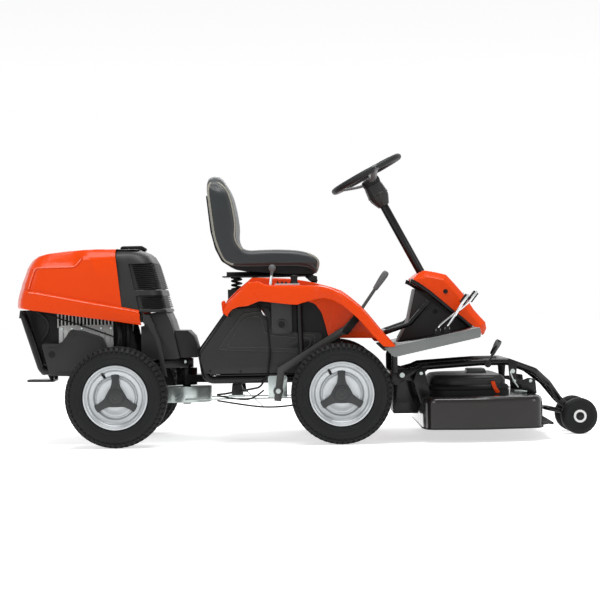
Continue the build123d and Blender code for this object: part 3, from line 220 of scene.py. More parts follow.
phase = put(lug_tree, "ShaderNodeCombineXYZ", {"Z": given["Phase"]})
shifted = put(lug_tree, "GeometryNodeTransform", {"Geometry": leant.outputs[0], "Translation": aside.outputs[0],
                                                  "Rotation": phase.outputs[0]})
upright = put(lug_tree, "GeometryNodeTransform", {"Geometry": shifted.outputs[0], "Translation": given["Centre"],
                                                  "Rotation": (math.pi / 2, 0, 0)})
solid = put(lug_tree, "GeometryNodeRealizeInstances", {"Geometry": upright.outputs[0]})
black = put(lug_tree, "GeometryNodeSetMaterial", {"Geometry": solid.outputs[0], "Material": given["Rubber"]})
whole = put(lug_tree, "GeometryNodeJoinGeometry", {"Geometry": given["Geometry"]})
lug_tree.links.new(black.outputs[0], whole.inputs["Geometry"])
put(lug_tree, "NodeGroupOutput", {"Geometry": whole.outputs[0]})

# Moulded tyre rubber: nearly black and matt, with a slow grey bloom.
rubber = finish("moulded_tyre_rubber", "#090A0B", "#121315", rough=(0.55, 0.7), grain=1.2, relief=0.25,
                Specular_IOR_Level=0.25)
FRONT_AXLE, REAR_AXLE, AXLE_HEIGHT, HALF_TRACK, LUGS = 122, -679, 180, 352, 56
WHEELS = {
    "front_right": (FRONT_AXLE * MM, -1, "wheel_front_right"), "front_left": (FRONT_AXLE * MM, 1, "wheel_front_left"),
    "rear_right": (REAR_AXLE * MM, -1, "wheel_rear_right"), "rear_left": (REAR_AXLE * MM, 1, "wheel_rear_left"),
}
side_wall = [(62.5, 116), (66, 117.5), (69.5, 121), (70.5, 126), (72.8, 128), (74.6, 134), (74.8, 139), (76.4, 140.5),
             (76.6, 148), (75.4, 149.5), (75, 154), (73, 160), (69, 167)]
carcass = side_wall + [(58, 171.5), (30, 173.4), (0, 174), (-30, 173.4), (-58, 171.5)]
carcass += [(-w, r) for w, r in reversed(side_wall)]
carcass += [(-62.5, 101.6), (-52.5, 101.6), (-52.5, 116), (-66, 146), (-56, 163), (0, 166), (56, 163), (66, 146),
            (52.5, 116), (52.5, 101.6), (62.5, 101.6)]
for corner, (x, side, body) in WHEELS.items():
    centre = (x, side * HALF_TRACK * MM, AXLE_HEIGHT * MM)
    shape = turned(bmesh.new(), carcass, centre, side, 120)
    bmesh.ops.recalc_face_normals(shape, faces=shape.faces)
    tyre = piece(f"tyre_{corner}_shown", shape, rubber, body, [f"tyre_{corner}"])
    for across, radius, lean, tilt, size, shift in (
        (0, 176.0, 0.45, 0, (8.0, 12.5, 20), 0.0),
        (22, 175.8, -0.4, 0.03, (8.0, 12.0, 17), 0.5), (-22, 175.8, -0.4, -0.03, (8.0, 12.0, 17), 0.5),
        (43, 174.6, 0.3, 0.09, (8.6, 12.5, 18), 0.0), (-43, 174.6, 0.3, -0.09, (8.6, 12.5, 18), 0.0),
        (63.5, 165.5, 0.0, 0.66, (17.0, 11.5, 21), 0.5), (-63.5, 165.5, 0.0, -0.66, (17.0, 11.5, 21), 0.5),
    ):
        grow(tyre, lug_tree, {
            "Count": LUGS, "Radius": radius * MM, "Across": across * MM, "Phase": shift * 2 * math.pi / LUGS,
            "Lean": lean, "Tilt": tilt, "Size": Vector(size) * MM, "Centre": Vector(centre), "Rubber": rubber})
    worn(tyre, 1.2, angle=50)
    settle(tyre)

# ---- Rims and caps -----------------------------------------------------------------------------------
# Pressed steel rims in silver paint, stepped twice towards the hub, with a snap-in rubber valve. A moulded
# cap with three legs clips over each hub.

# Metallic wheel paint: pale grey flake with a soft sheen under a thin clear coat.
silver = finish("silver_wheel_paint", "#A9ADB0", "#BCC0C2", metallic=0.6, rough=(0.28, 0.36), grain=0.8, relief=0.03,
                Coat_Weight=0.3)
# Charcoal plastic: satin, with a fine moulded grain.
cap_grey = finish("charcoal_cap_plastic", "#2C2D2E", "#363738", rough=(0.38, 0.46), grain=0.9, relief=0.06,
                  Specular_IOR_Level=0.35)
# Valve rubber: soft black with little shine.
valve_black = finish("valve_rubber", "#0E0E0F", "#161617", rough=(0.45, 0.55), grain=1.0, relief=0.05,
                     Specular_IOR_Level=0.3)
rim_section = [(68, 108), (68.5, 112), (67.5, 114.3), (65, 114.3), (64.5, 112), (64, 104), (55, 101), (0, 100.8),
               (-55, 101), (-64.5, 104), (-64.5, 114.3), (-68, 114.3), (-68, 97.5), (30, 97.5), (32, 90), (31, 40),
               (31, 24), (-40, 24), (-40, 12.7), (39, 12.7), (39, 26), (36, 30), (36, 56), (38.5, 61), (38.5, 67),
               (37.5, 68.5), (31, 69.5), (31, 74), (41, 76), (46.5, 80), (47, 91), (49, 94), (56, 96.5), (60.5, 98.5),
               (62.5, 103), (64.5, 106)]
for corner, (x, side, body) in WHEELS.items():
    centre = (x, side * HALF_TRACK * MM, AXLE_HEIGHT * MM)
    shape = turned(bmesh.new(), rim_section, centre, side, 128)
    bmesh.ops.recalc_face_normals(shape, faces=shape.faces)
    piece(f"rim_{corner}_shown", shape, silver, body, [f"rim_{corner}"], smooth=50)

    cap = bmesh.new()
    loop = []
    for leg in range(3):
        a = math.pi / 2 + leg * 2 * math.pi / 3
        along = Vector((math.cos(a), math.sin(a)))
        beside = Vector((-math.sin(a), math.cos(a)))
        for u, v in ((25, -25), (36, -17.5), (50, -13.5), (66, -13), (81, -15), (84, -12.5), (85.5, 0), (84, 12.5),
                     (81, 15), (66, 13), (50, 13.5), (36, 17.5), (25, 25)):
            loop.append(along * u + beside * v)
    rings = []
    for step, (shrink, height) in enumerate(((0, 39.9), (0, 44.0), (1.6, 46.2), (4.5, 47.4))):
        ring_verts = []
        for p in loop:
            r = p.length
            q = p * (1 - shrink / max(r, 1)) if r > 30 else p * (1 - shrink / 60)
            rise = height + (2.2 * max(0, 1 - r / 85) if step else 0)
            ring_verts.append(cap.verts.new((x + q.x * MM, side * (HALF_TRACK + rise) * MM,
                                             (AXLE_HEIGHT + q.y) * MM)))
        rings.append(ring_verts)
    for one, two in zip(rings, rings[1:]):
        for j in range(len(loop)):
            cap.faces.new((one[j], one[(j + 1) % len(loop)], two[(j + 1) % len(loop)], two[j]))
    middle = cap.verts.new((x, side * (HALF_TRACK + 49.8) * MM, AXLE_HEIGHT * MM))
    for j in range(len(loop)):
        cap.faces.new((rings[-1][j], rings[-1][(j + 1) % len(loop)], middle))
    turned(cap, [(46, 29), (50.6, 29), (52.4, 27.5), (52.6, 24.5), (51.0, 23.5), (51.0, 22.5), (52.0, 20.5),
                 (52.0, 12), (50.9, 11), (51.2, 9.5), (51.4, 0.3), (46, 0.3)], centre, side, 48)
    bmesh.ops.recalc_face_normals(cap, faces=cap.faces)
    piece(f"cap_{corner}", cap, cap_grey, body, smooth=32)

    valve = bmesh.new()
    a = math.radians(118)
    foot = Vector((x + 83 * MM * math.cos(a), side * 394 * MM, (AXLE_HEIGHT + 83 * math.sin(a)) * MM))
    lean = Vector((math.cos(a) * 0.5, side * 0.86, math.sin(a) * 0.5)).normalized()
    turn_to = lean.to_track_quat("Z", "Y").to_matrix().to_4x4()
    for low, r1, r2, long in ((0, 7.5, 6.5, 3), (3, 5.5, 4.2, 14), (17, 3.4, 3.4, 8)):
        bmesh.ops.create_cone(valve, cap_ends=True, segments=20, radius1=r1 * MM, radius2=r2 * MM, depth=long * MM,
                              matrix=Matrix.Translation(foot + lean * (low + long / 2) * MM) @ turn_to)
    piece(f"valve_{corner}", valve, valve_black, body)

# ---- Hood --------------------------------------------------------------------------------------------
# The engine hood is one injection moulding in through-coloured orange ABS with a gloss surface. A flared band runs
# round its lower edge, its sides are set in above it, and it hangs on two lugs at the tail.
def wrap(shape, levels, closed):
    """Joins strings of points in millimetres, one per level and each open or closed, into a skin."""
    strings = [[shape.verts.new(Vector(p) * MM) for p in string] for string in levels]
    n = len(strings[0])
    for one, two in zip(strings, strings[1:]):
        for j in range(n if closed else n - 1):
            shape.faces.new((one[j], one[(j + 1) % n], two[(j + 1) % n], two[j]))
    return strings


def closed_skin(levels):
    """A skin round closed strings, with a face over its first and its last one."""
    shape = bmesh.new()
    strings = wrap(shape, levels, True)
    for end in (strings[0], strings[-1]):
        shape.faces.new(end)
    bmesh.ops.recalc_face_normals(shape, faces=shape.faces)
    return shape


def between(table, x):
    """Straight-line value at x in a table of (x, value)."""
    for (x0, v0), (x1, v1) in zip(table, table[1:]):
        if x <= x1 or (x1, v1) == table[-1]:
            t = (x - x0) / (x1 - x0)
            return v0 + (v1 - v0) * min(1, max(0, t))
    return table[-1][1]


# Gloss ABS, coloured right through: an even warm orange with soft, broad highlights.
orange = finish("gloss_orange_abs", "#CB3800", "#D44002", rough=(0.26, 0.32), grain=2.5, relief=0.02, drift=120,
                Specular_IOR_Level=0.12, Coat_Weight=0.08, Coat_Roughness=0.1)


def bow(front_x, rear_x, half, corner, height, columns=14):
    """A string round the tail at one level: along the right side, round the tail and back up the left side.
    height(x) gives its z; half(x) its distance from the middle."""
    string = []
    tail = rear_x + 0.13 * half(rear_x)
    for k in range(columns + 1):
        x = front_x + (tail + corner - front_x) * k / columns
        string.append((x, -half(x), height(x)))
    w = half(tail + corner)
    for a in (15, 30, 45, 60, 75):
        x = tail + corner - corner * math.sin(math.radians(a))
        string.append((x, -(w - corner + corner * math.cos(math.radians(a))), height(x)))
    for k in range(7):
        x = tail + (rear_x - tail) * math.sin(math.pi * k / 12)
        string.append((x, -(w - corner) * (1 - k / 6), height(x)))
    return string + [(x, -y, z) for x, y, z in reversed(string[:-1])]


band_top = [(-1075, 571), (-1003, 557), (-666, 492), (-604, 479)]
band_low = [(-1075, 500), (-1026, 499), (-671, 446), (-595, 433)]
top_line = [(-1018, 669), (-993, 689), (-935, 702), (-867, 710), (-812, 713), (-759, 714), (-688, 713)]
flat = lambda v: (lambda x: v)
shape = bmesh.new()
band = []
for inset, rise, rear in ((6, 6, -1060), (1.5, 0, -1066), (0, 3, -1070), (0, 9, -1072.5)):
    band.append(bow(-595 - rise * 0.2, rear, flat(265 - inset), 46, lambda x, r=rise: between(band_low, x) + r))
for share, rear in ((0.5, -1070), (0.92, -1063)):
    band.append(bow(-600, rear, flat(264.5), 46,
                    lambda x, s=share: between(band_low, x) * (1 - s) + between(band_top, x) * s))
for inset, rise, rear in ((1.5, -1, -1061.5), (5, 2.5, -1060), (14, 7, -1058.5), (19, 8.5, -1058)):
    band.append(bow(-603, rear, lambda x, i=inset: 265 - i * (0.45 + 0.55 * (x + 1060) / 450), 46,
                    lambda x, r=rise: between(band_top, x) + r))
wrap(shape, band, False)
shoulder = [(-1075, 648), (-838, 649), (-822, 654), (-806, 680), (-800, 684), (-690, 684)]
upper = []
for share, inset, rear in ((-0.02, 19, -1058), (0.06, 20, -1057.5), (0.3, 22, -1053), (0.6, 25, -1044),
                           (0.94, 28, -1035)):
    upper.append(bow(-667 - 20 * share, rear, lambda x, i=inset: 265 - i * (0.6 + 0.4 * (x + 1060) / 390), 46,
                     lambda x, s=share: (between(band_top, x) + 8.5) * (1 - s) + between(shoulder, x) * s))
for inset, rise, rear in ((29, 0, -1034), (32, 2.5, -1032)):
    upper.append(bow(-688, rear, lambda x, i=inset: 265 - i - 2, 44, lambda x, r=rise: between(shoulder, x) + r))
for share, w, rear in ((0.35, 217, -1024), (0.72, 206, -1014), (0.92, 196, -1002)):
    upper.append(bow(-688, rear, lambda x, w=w: w + between([(-838, 0), (-806, 6)], x), 42,
                     lambda x, s=share: (between(shoulder, x) + 2.5) * (1 - s)
                     + (between(top_line, x) if x > -1000 else 689) * s))
for w, rear, fall in ((176, -985, 2.0), (140, -972, 0.6), (90, -960, 0.2), (40, -950, 0.0), (1, -945, 0.0)):
    upper.append(bow(-688, rear, flat(w), min(38, w * 0.9), lambda x, f=fall: between(top_line, x) - f))
wrap(shape, upper, False)
bmesh.ops.remove_doubles(shape, verts=shape.verts, dist=2e-5)
bmesh.ops.recalc_face_normals(shape, faces=shape.faces)
hood = piece("hood_moulding", shape, orange, "hood", ["hood_shell"], smooth=28)
wall = hood.modifiers.new("wall", "SOLIDIFY")
wall.thickness, wall.offset = 3.2 * MM, -1
settle(hood, smooth=28)

# ---- Grille ------------------------------------------------------------------------------------------
# The nose of the hood is dark grey ABS with a fine grain: a plain bezel next to the orange, two windows filled
# with thin louvres, and smooth bars between them.

# Grained ABS: a dark grey whose fine moulded grain breaks up reflections.
charcoal = finish("charcoal_grained_abs", "#222323", "#292A28", rough=(0.36, 0.46), grain=0.9, relief=0.08,
                  Specular_IOR_Level=0.25)
# Plain black ABS: darker and smoother than the bezel, so what lies behind it reads as deep. The same black also fills
# open gaps and holes as painted shade.
louvre_black = finish("louvre_black_abs", "#0A0B0B", "#111212", rough=(0.42, 0.52), grain=1.0, relief=0.04,
                      Specular_IOR_Level=0.22)
nose_x = [(478, -503), (491, -507), (527, -515), (576, -529), (634, -545), (653, -550), (670, -558), (688, -568),
          (700, -582), (706, -596)]
nose_parts = (0, 0.2, 0.4, 0.55, 0.68, 0.71, 0.8, 0.9, 1.0)
nose_half = [(478, 246), (492, 244), (560, 238), (650, 224), (684, 214), (700, 200), (708, 186)]


def nose(z, inset=0.0, corner=62, window=True):
    """A string round the nose at one height. An inset is only taken where the windows are, unless window is off."""
    front, w = between(nose_x, z) - inset, between(nose_half, z)
    rear = between([(478, -664.5), (492, -666), (682, -687)], z)
    string = []
    for part in nose_parts:
        string.append((rear + (front - corner - rear) * part, -(w - (inset if part > 0.7 or not window else 0)), z))
    w -= inset
    for a in range(10, 100, 10):
        string.append((front - corner + corner * math.sin(math.radians(a)),
                       -(w - corner + corner * math.cos(math.radians(a))), z))
    for k in range(1, 9):
        string.append((front + 5 * math.sin(math.pi * k / 16), -(w - corner) * (1 - k / 8), z))
    return string + [(x, -y, z) for x, y, z in reversed(string[:-1])]


shape = bmesh.new()
levels = [nose(478.8, 6, window=False), nose(478.8, 1.5, window=False), nose(481, 0), nose(489, 0), nose(490.5, 1.5),
          nose(491.5, 9), nose(539, 9), nose(540, 1.5), nose(542, 0), nose(559, 0), nose(560.5, 1.5), nose(561.5, 9),
          nose(655, 9), nose(656.5, 1.5), nose(659, 0), nose(684, 1, window=False), nose(697, 4, window=False),
          nose(705, 10, window=False)]
wrap(shape, levels, False)
lid = []
for w, front, z in ((186, -606, 709), (150, -616, 711.2), (100, -622, 712), (50, -626, 712.4), (1, -628, 712.6)):
    string = []
    c = min(50, w * 0.9)
    for part in nose_parts:
        string.append((-687 + (front - c + 687) * part, -w, z + (713 - z) * (1 - part) * 0.8))
    for a in range(10, 100, 10):
        string.append((front - c + c * math.sin(math.radians(a)), -(w - c + c * math.cos(math.radians(a))), z))
    for k in range(1, 9):
        string.append((front, -(w - c) * (1 - k / 8), z))
    lid.append(string + [(x, -y, zz) for x, y, zz in reversed(string[:-1])])
wrap(shape, [nose(705, 10, window=False)] + lid, False)
bmesh.ops.remove_doubles(shape, verts=shape.verts, dist=2e-5)
bmesh.ops.recalc_face_normals(shape, faces=shape.faces)
grille = piece("grille_moulding", shape, charcoal, "hood", ["hood_grille"], smooth=30)
wall = grille.modifiers.new("wall", "SOLIDIFY")
wall.thickness, wall.offset = 3.0 * MM, -1
settle(grille, smooth=30)

# ---- Body cover and fenders --------------------------------------------------------------------------
# One long moulding in the same orange ABS runs from the beak behind the seat, past the console, and flares out into
# a fender over each front wheel, slotted for the lift lever. A flat liner wall closes each arch towards the middle.
def rounded(points, radius, steps=5):
    """A closed outline with its corners rounded."""
    out = []
    n = len(points)
    for k in range(n):
        here, back, ahead = (Vector(points[j]) for j in (k, k - 1, (k + 1) % n))
        a, b = back - here, ahead - here
        r = min(radius, a.length * 0.42, b.length * 0.42)
        one, two = here + a.normalized() * r, here + b.normalized() * r
        for j in range(steps + 1):
            t = j / steps
            out.append(tuple(one * (1 - t) ** 2 + here * 2 * t * (1 - t) + two * t ** 2))
    return out


def plate(name, outline, near, far, material, body, nodes=(), corner=4.0, edge=1.2, both=False, segments=2,
          smooth=40):
    """A flat piece: an outline seen from the side, with rounded corners and eased edges, between two distances from
    the middle. The right-hand side is negative."""
    shape = bmesh.new()
    ends = [(near, far)] + ([(-near, -far)] if both else [])
    for one, two in ends:
        loops = [[shape.verts.new((x * MM, y * MM, z * MM)) for x, z in rounded(outline, corner)] for y in (one, two)]
        n = len(loops[0])
        caps = [shape.faces.new(loop) for loop in loops]
        for j in range(n):
            shape.faces.new((loops[0][j], loops[0][(j + 1) % n], loops[1][(j + 1) % n], loops[1][j]))
        if edge:
            bmesh.ops.bevel(shape, geom=list({e for f in caps for e in f.edges}), offset=edge * MM, segments=segments,
                            profile=0.5, affect="EDGES", clamp_overlap=True)
    bmesh.ops.recalc_face_normals(shape, faces=shape.faces)
    return piece(name, shape, material, body, nodes, smooth=smooth)


def run(name, points, radius, material, body, nodes=(), cyclic=False, sides=3):
    """A round run along a smooth line through control points in millimetres."""
    line = bpy.data.curves.new(f"{name}_line", "CURVE")
    line.dimensions, line.use_fill_caps, line.resolution_u = "3D", True, 6
    line.bevel_depth, line.bevel_resolution = radius * MM, sides
    spline = line.splines.new("NURBS")
    spline.points.add(len(points) - 1)
    for knot, point in zip(spline.points, points):
        knot.co = (*(c * MM for c in point), 1)
    spline.order_u, spline.use_endpoint_u, spline.use_cyclic_u = 3, not cyclic, cyclic
    holder = bpy.data.objects.new(f"{name}_line", line)
    bpy.context.scene.collection.objects.link(holder)
    bpy.context.view_layer.update()
    mesh = bpy.data.meshes.new_from_object(holder.evaluated_get(bpy.context.evaluated_depsgraph_get()))
    bpy.data.objects.remove(holder)
    shape = bmesh.new()
    shape.from_mesh(mesh)
    bpy.data.meshes.remove(mesh)
    return piece(name, shape, material, body, nodes, smooth=50)


cover_low = [(-298, 472), (-280, 461), (-256, 493), (-210, 495), (-165, 513), (-143, 510), (-34, 496), (-4, 506),
             (16, 510), (40, 517), (65, 519), (95, 512), (130, 493), (174, 455), (208, 418), (241, 377), (275, 342),
             (313, 344)]
cover_top = [(-298, 483), (-286, 516), (-240, 560), (-193, 598), (-134, 597), (-54, 592), (0, 583), (34, 576),
             (87, 562), (133, 545), (163, 522), (201, 489), (227, 460), (272, 403), (313, 351)]
cover_shoulder = [(-298, 480), (-284, 506), (-240, 545), (-206, 582), (-166, 584), (-142, 571), (-120, 569),
                  (28, 566), (60, 561), (87, 554), (133, 533), (163, 509), (201, 475), (227, 446), (272, 389),
                  (313, 347)]
cover_out = [(-298, 322), (-270, 330), (-206, 335), (20, 335), (45, 343), (80, 372), (110, 398), (140, 415),
             (175, 424), (313, 425)]
shape = bmesh.new()
strings = []
for x in (-298, -292, -284, -262, -240, -222, -206, -193, -180, -166, -154, -142, -126, -100, -54, -30, -12, 4, 16,
          28, 40, 52, 66, 80, 95, 112, 130, 148, 163, 180, 201, 216, 232, 250, 272, 292, 309, 313):
    low, out, side_z, top_z = (between(table, x) for table in (cover_low, cover_out, cover_shoulder, cover_top))
    flare = min(1, max(0, (x - 20) / 90))
    k = min(6.0, max(0.5, (side_z - low) / 4))
    step = top_z - side_z
    half = [(out - 2, low), (out, low + k * 0.5), (out, side_z - 1.8 * k), (out - 1.5, side_z - 0.9 * k),
            (out - 5, side_z - 0.2 * k), (out - 12, side_z), (out - 26 - 4 * flare, side_z + 1 + 2 * flare),
            (out - 30 - 4 * flare, side_z + 1 + 6 * flare * min(1, step / 10)),
            (268.5 + 14 * flare, side_z + 1 + 0.7 * flare * step), (268, side_z + 1 + 0.72 * flare * step),
            (244, side_z + 1.5 + 0.8 * flare * step), (243, side_z + 3 + 0.85 * (step - 4)), (239, top_z - 0.6),
            (230, top_z), (200, top_z), (151, top_z)]
    strings.append([shape.verts.new((x * MM, -y * MM, z * MM)) for y, z in half]
                   + [shape.verts.new((x * MM, y * MM, z * MM)) for y, z in reversed(half)])
n = len(strings[0])
for one, two in zip(strings, strings[1:]):
    middle_x = (one[0].co.x + two[0].co.x) / 2 / MM
    for j in range(n - 1):
        slot_open = 4 <= middle_x <= 232 and j == 9
        middle_open = middle_x < 66 and j == 15
        if not (slot_open or middle_open):
            shape.faces.new((one[j], two[j], two[j + 1], one[j + 1]))
bmesh.ops.recalc_face_normals(shape, faces=shape.faces)
if sum(f.normal.z for f in shape.faces) < 0:
    bmesh.ops.reverse_faces(shape, faces=shape.faces)
cover = piece("body_moulding", shape, orange, "front_chassis", ["body_cover", "fenders"], smooth=30)
wall = cover.modifiers.new("wall", "SOLIDIFY")
wall.thickness, wall.offset = 3.4 * MM, -1
worn(cover, 0.8, angle=70)
settle(cover, smooth=28)
arch = [(6, 509), (34, 500), (57, 468), (70, 423), (80, 380), (92, 374), (251, 371), (264, 398), (225, 446),
        (180, 488), (120, 530), (40, 558), (6, 548)]
plate("arch_liners", arch, -238.5, -242, orange, "front_chassis", corner=10, edge=1.0, both=True)
plate("cover_beak", [(-303, 512), (-292, 518), (-276, 470), (-284, 458), (-300, 478)], -246, -300, orange,
      "front_chassis", corner=6, edge=2.5, both=True)

# The same orange ABS, drawn a little lighter and glossier in thin beads along the creases: a painted highlight line
# wherever a crease turns to the light.
highlight_orange = finish("orange_painted_highlight", "#D84408", "#E04C0C", rough=(0.12, 0.18), grain=2.5, relief=0.01,
                     Specular_IOR_Level=0.9, Coat_Weight=1.0, Coat_Roughness=0.05)
SIDES = ((-1, "right"), (1, "left"))
# Beads in the lighter orange along the hood's side crease and the top of its band: painted highlight lines.
for side, name in SIDES:
    run(f"hood_crease_{name}", [(-1001, side * 251.2, 572), (-993, side * 249.0, 606), (-978, side * 245.0, 644),
                                (-970, side * 244.2, 648), (-900, side * 241.5, 648.6), (-842, side * 239.6, 649.0),
                                (-830, side * 238.8, 653), (-812, side * 238, 676)], 2.0, highlight_orange, "hood",
        sides=3)
    run(f"hood_band_edge_{name}", [(-1000, side * 262.6, 558), (-960, side * 262.6, 551.6),
                                   (-860, side * 262.4, 531.0), (-760, side * 262.4, 511),
                                   (-668, side * 262.2, 493.6), (-640, side * 262.4, 487.4),
                                   (-612, side * 262.6, 481.6)], 1.9, highlight_orange, "hood", sides=3)

# ---- Console -----------------------------------------------------------------------------------------
# Let into the shelf on the driver's right, and held by screws from below: a chromed switch plate, the throttle lever
# with its grey ball grip, and the blade-clutch knob in black plastic.

# Chrome plate: a mirror, blurred a little by handling.
chrome = finish("bright_chrome_plate", "#C9CCCE", "#DADCDD", metallic=1.0, rough=(0.10, 0.18), grain=1.0, relief=0.01)
# Grey nylon: satin and faintly waxy, with a fine grain.
grip_grey = finish("grey_nylon_grip", "#4A4C4D", "#565859", rough=(0.45, 0.55), grain=0.9, relief=0.07,
                   Specular_IOR_Level=0.4)


def lathe(shape, profile, place, steps=40):
    """Turns a string of (radius, height) in millimetres, from axis to axis, about the upright of a placing matrix."""
    rings = []
    for r, h in profile:
        rings.append([shape.verts.new(place @ Vector((r * math.cos(2 * math.pi * k / steps) * MM,
                                                      r * math.sin(2 * math.pi * k / steps) * MM, h * MM)))
                      for k in range(steps)])
    for one, two in zip(rings, rings[1:]):
        for k in range(steps):
            shape.faces.new((one[k], one[(k + 1) % steps], two[(k + 1) % steps], two[k]))
    bmesh.ops.remove_doubles(shape, verts=shape.verts, dist=1e-6)
    bmesh.ops.recalc_face_normals(shape, faces=shape.faces)
    return shape


def aimed(x, y, z, along):
    """A placing matrix with its upright along a direction."""
    turn_to = Vector(along).normalized().to_track_quat("Z", "Y").to_matrix().to_4x4()
    return Matrix.Translation(Vector((x, y, z)) * MM) @ turn_to


plate("switch_plate", [(-110, 570), (-20, 569), (-20, 573), (-110, 574)], -270, -302, chrome, "front_chassis",
      corner=1.5, edge=0.8)
shape = bmesh.new()
for k, x in enumerate((-98, -84, -70)):
    lathe(shape, [(0.01, 0), (4.6, 0), (4.6, 5), (4.0, 6), (2.0, 6), (1.8, 12 - 2 * k), (0.01, 12 - 2 * k)],
          aimed(x, -287 - 4 * (k % 2), 573, (0.2 * k - 0.2, 0, 1)), 20)
piece("console_switches", shape, louvre_black, "front_chassis")
lever_foot, lever_ball = Vector((-126, -285, 566)), Vector((-118, -285, 631))
lever_way = lever_ball - lever_foot
shape = lathe(bmesh.new(), [(0.01, -4), (6.5, -4), (7.0, 0), (6.6, 8), (4.2, 38), (3.4, 42), (0.01, 42)],
              aimed(*lever_foot, lever_way), 28)
piece("throttle_cone", shape, chrome, "throttle", ["throttle_lever"])
BALL = 13
ball = [(0.01, 38), (5.0, 38), (5.6, 46), (6.4, 52)]
ball += [(BALL * math.cos(math.radians(a)), lever_way.length + BALL * math.sin(math.radians(a)))
         for a in (-60, -45, -30, -15, 0, 15, 30, 45, 60, 75)]
ball.append((0.01, lever_way.length + BALL))
piece("throttle_ball", lathe(bmesh.new(), ball, aimed(*lever_foot, lever_way), 32), grip_grey, "throttle")
shape = lathe(bmesh.new(), [(0.01, -6), (3.6, -6), (3.6, 0.6), (15.5, 0.8), (16, 2), (15, 6), (12.5, 9), (12, 22),
                            (13.5, 24), (13.5, 31), (11.5, 33), (0.01, 33.6)], aimed(-40, -285, 571, (0, 0, 1)), 36)
piece("clutch_knob", shape, louvre_black, "pto", ["pto_knob"])

# ---- Frames and welded steel -------------------------------------------------------------------------
# Tube and plate frames of both chassis and of the deck carrier, welded and then powder coated in satin black.
# The coat rounds every edge and shows a fine orange-peel.
def rounded_copy(node, material, body, edge=2.0, angle=32):
    """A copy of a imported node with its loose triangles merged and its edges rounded, standing for the node."""
    shape = bmesh.new()
    shape.from_mesh(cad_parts[node].data)
    bmesh.ops.remove_doubles(shape, verts=shape.verts, dist=1e-5)
    bmesh.ops.dissolve_limit(shape, angle_limit=math.radians(1.0), verts=shape.verts, edges=shape.edges)
    made = piece(f"{node}_shown", shape, material, body, [node], smooth=angle)
    worn(made, edge, 2, angle)
    settle(made, smooth=angle + 8)


# Powder coat: satin black with a fine orange peel and slow changes in its gloss.
coat = finish("black_powder_coat", "#070708", "#0E0E10", rough=(0.2, 0.3), grain=1.5, relief=0.05, drift=90,
              Specular_IOR_Level=0.3)
for node, body, edge in (("frame_rails", "front_chassis", 1.5), ("rear_crossmember", "front_chassis", 2),
                         ("front_axle", "front_chassis", 2), ("front_crossmember", "front_chassis", 1.2),
                         ("seat_tower", "front_chassis", 1.2), ("rear_frame", "rear_chassis", 1.2),
                         ("tow_plate", "rear_chassis", 1.5), ("foot_tubes", "front_chassis", 1.0),
                         ("deck_frame", "deck_carrier", 1.2), ("seat_base", "seat_carrier", 1.2),
                         ("steering_column", "front_chassis", 1.0), ("blade_left", "blade_left", 0.8),
                         ("blade_right", "blade_right", 0.8),):
    rounded_copy(node, coat, body, edge)

# ---- Side panels -------------------------------------------------------------------------------------
# Vacuum-formed charcoal panels close the battery and tank bay. Each has a raised three-cornered field pressed into
# it, and a lighter hanging plate with a round hole comes down from the console in front of it.
field_outline = [(-318, 342), (-236, 458), (-222, 468), (-150, 476), (-138, 404), (-20, 390), (40, 388), (14, 322),
                 (-120, 330), (-300, 338)]
hollow_outline = [(-286, 352), (-228, 444), (-212, 454), (-160, 460), (-150, 390), (-26, 378), (20, 376), (6, 334),
                  (-120, 342), (-276, 348)]
plate("side_panel_sheets", [(-372, 252), (-388, 318), (-276, 474), (-266, 486), (-130, 490), (-126, 404), (62, 394),
                            (36, 300), (20, 250)], -229.6, -233.4, charcoal, "front_chassis",
      ["side_panels"], corner=18, edge=1.5, both=True)
plate("side_panel_fields", field_outline, -233, -237.2, charcoal, "front_chassis", corner=26,
      edge=3.4, both=True, segments=4, smooth=60)
plate("side_panel_hollows", hollow_outline, -237.0, -239.6, charcoal,
      "front_chassis", corner=22, edge=2.2, both=True, segments=3, smooth=60)
# Black sheets just inside the side panels fill the open gaps with painted shade, where the dark inside of the bay
# would show.
plate("bay_shade_sheets", [(-262, 470), (-236, 512), (-60, 512), (10, 522), (60, 524), (110, 500), (124, 430), (124, 310),
                      (60, 300), (-140, 392)], -223, -225, louvre_black, "front_chassis", corner=8,
      edge=0.6, both=True)
# The panel's pressed edges, traced in a paler grey than the panel: a painted highlight along the relief.
panel_highlight_grey = finish("panel_edge_painted_highlight", "#3C3D3C", "#464745", rough=(0.4, 0.5), grain=0.9, relief=0.06,
                   Specular_IOR_Level=0.3)
# Thin paler beads round the field and the hollow: painted highlight lines on the relief.
for side, name in SIDES:
    for level, line in ((237.4, field_outline), (239.8, hollow_outline)):
        run(f"side_panel_bead_{name}_{level:.0f}", [(x, side * level, z) for x, z in rounded(line, 24, 3)], 1.3,
            panel_highlight_grey, "front_chassis", cyclic=True, sides=2)
plate("frame_cheeks", [(322, 256), (352, 258), (392, 240), (392, 130), (326, 130)], -150, -153, coat, "front_chassis",
      corner=6, edge=0.8, both=True)
# Primed steel plate: flat grey, a little uneven.
steel_grey = finish("grey_primed_steel", "#1A1B1B", "#222323", rough=(0.42, 0.5), grain=1.2, relief=0.05,
                    Specular_IOR_Level=0.4)
ring = bmesh.new()
for side in (-1, 1):
    lathe(ring, [(12, 0), (18.5, 0), (18.5, 2.4), (17, 3.2), (13.5, 3.2), (12, 2.4), (12, 0)],
          aimed(-87, side * 247.4, 428, (0, side, 0)), 36)
piece("hanger_eyes", ring, steel_grey, "front_chassis")
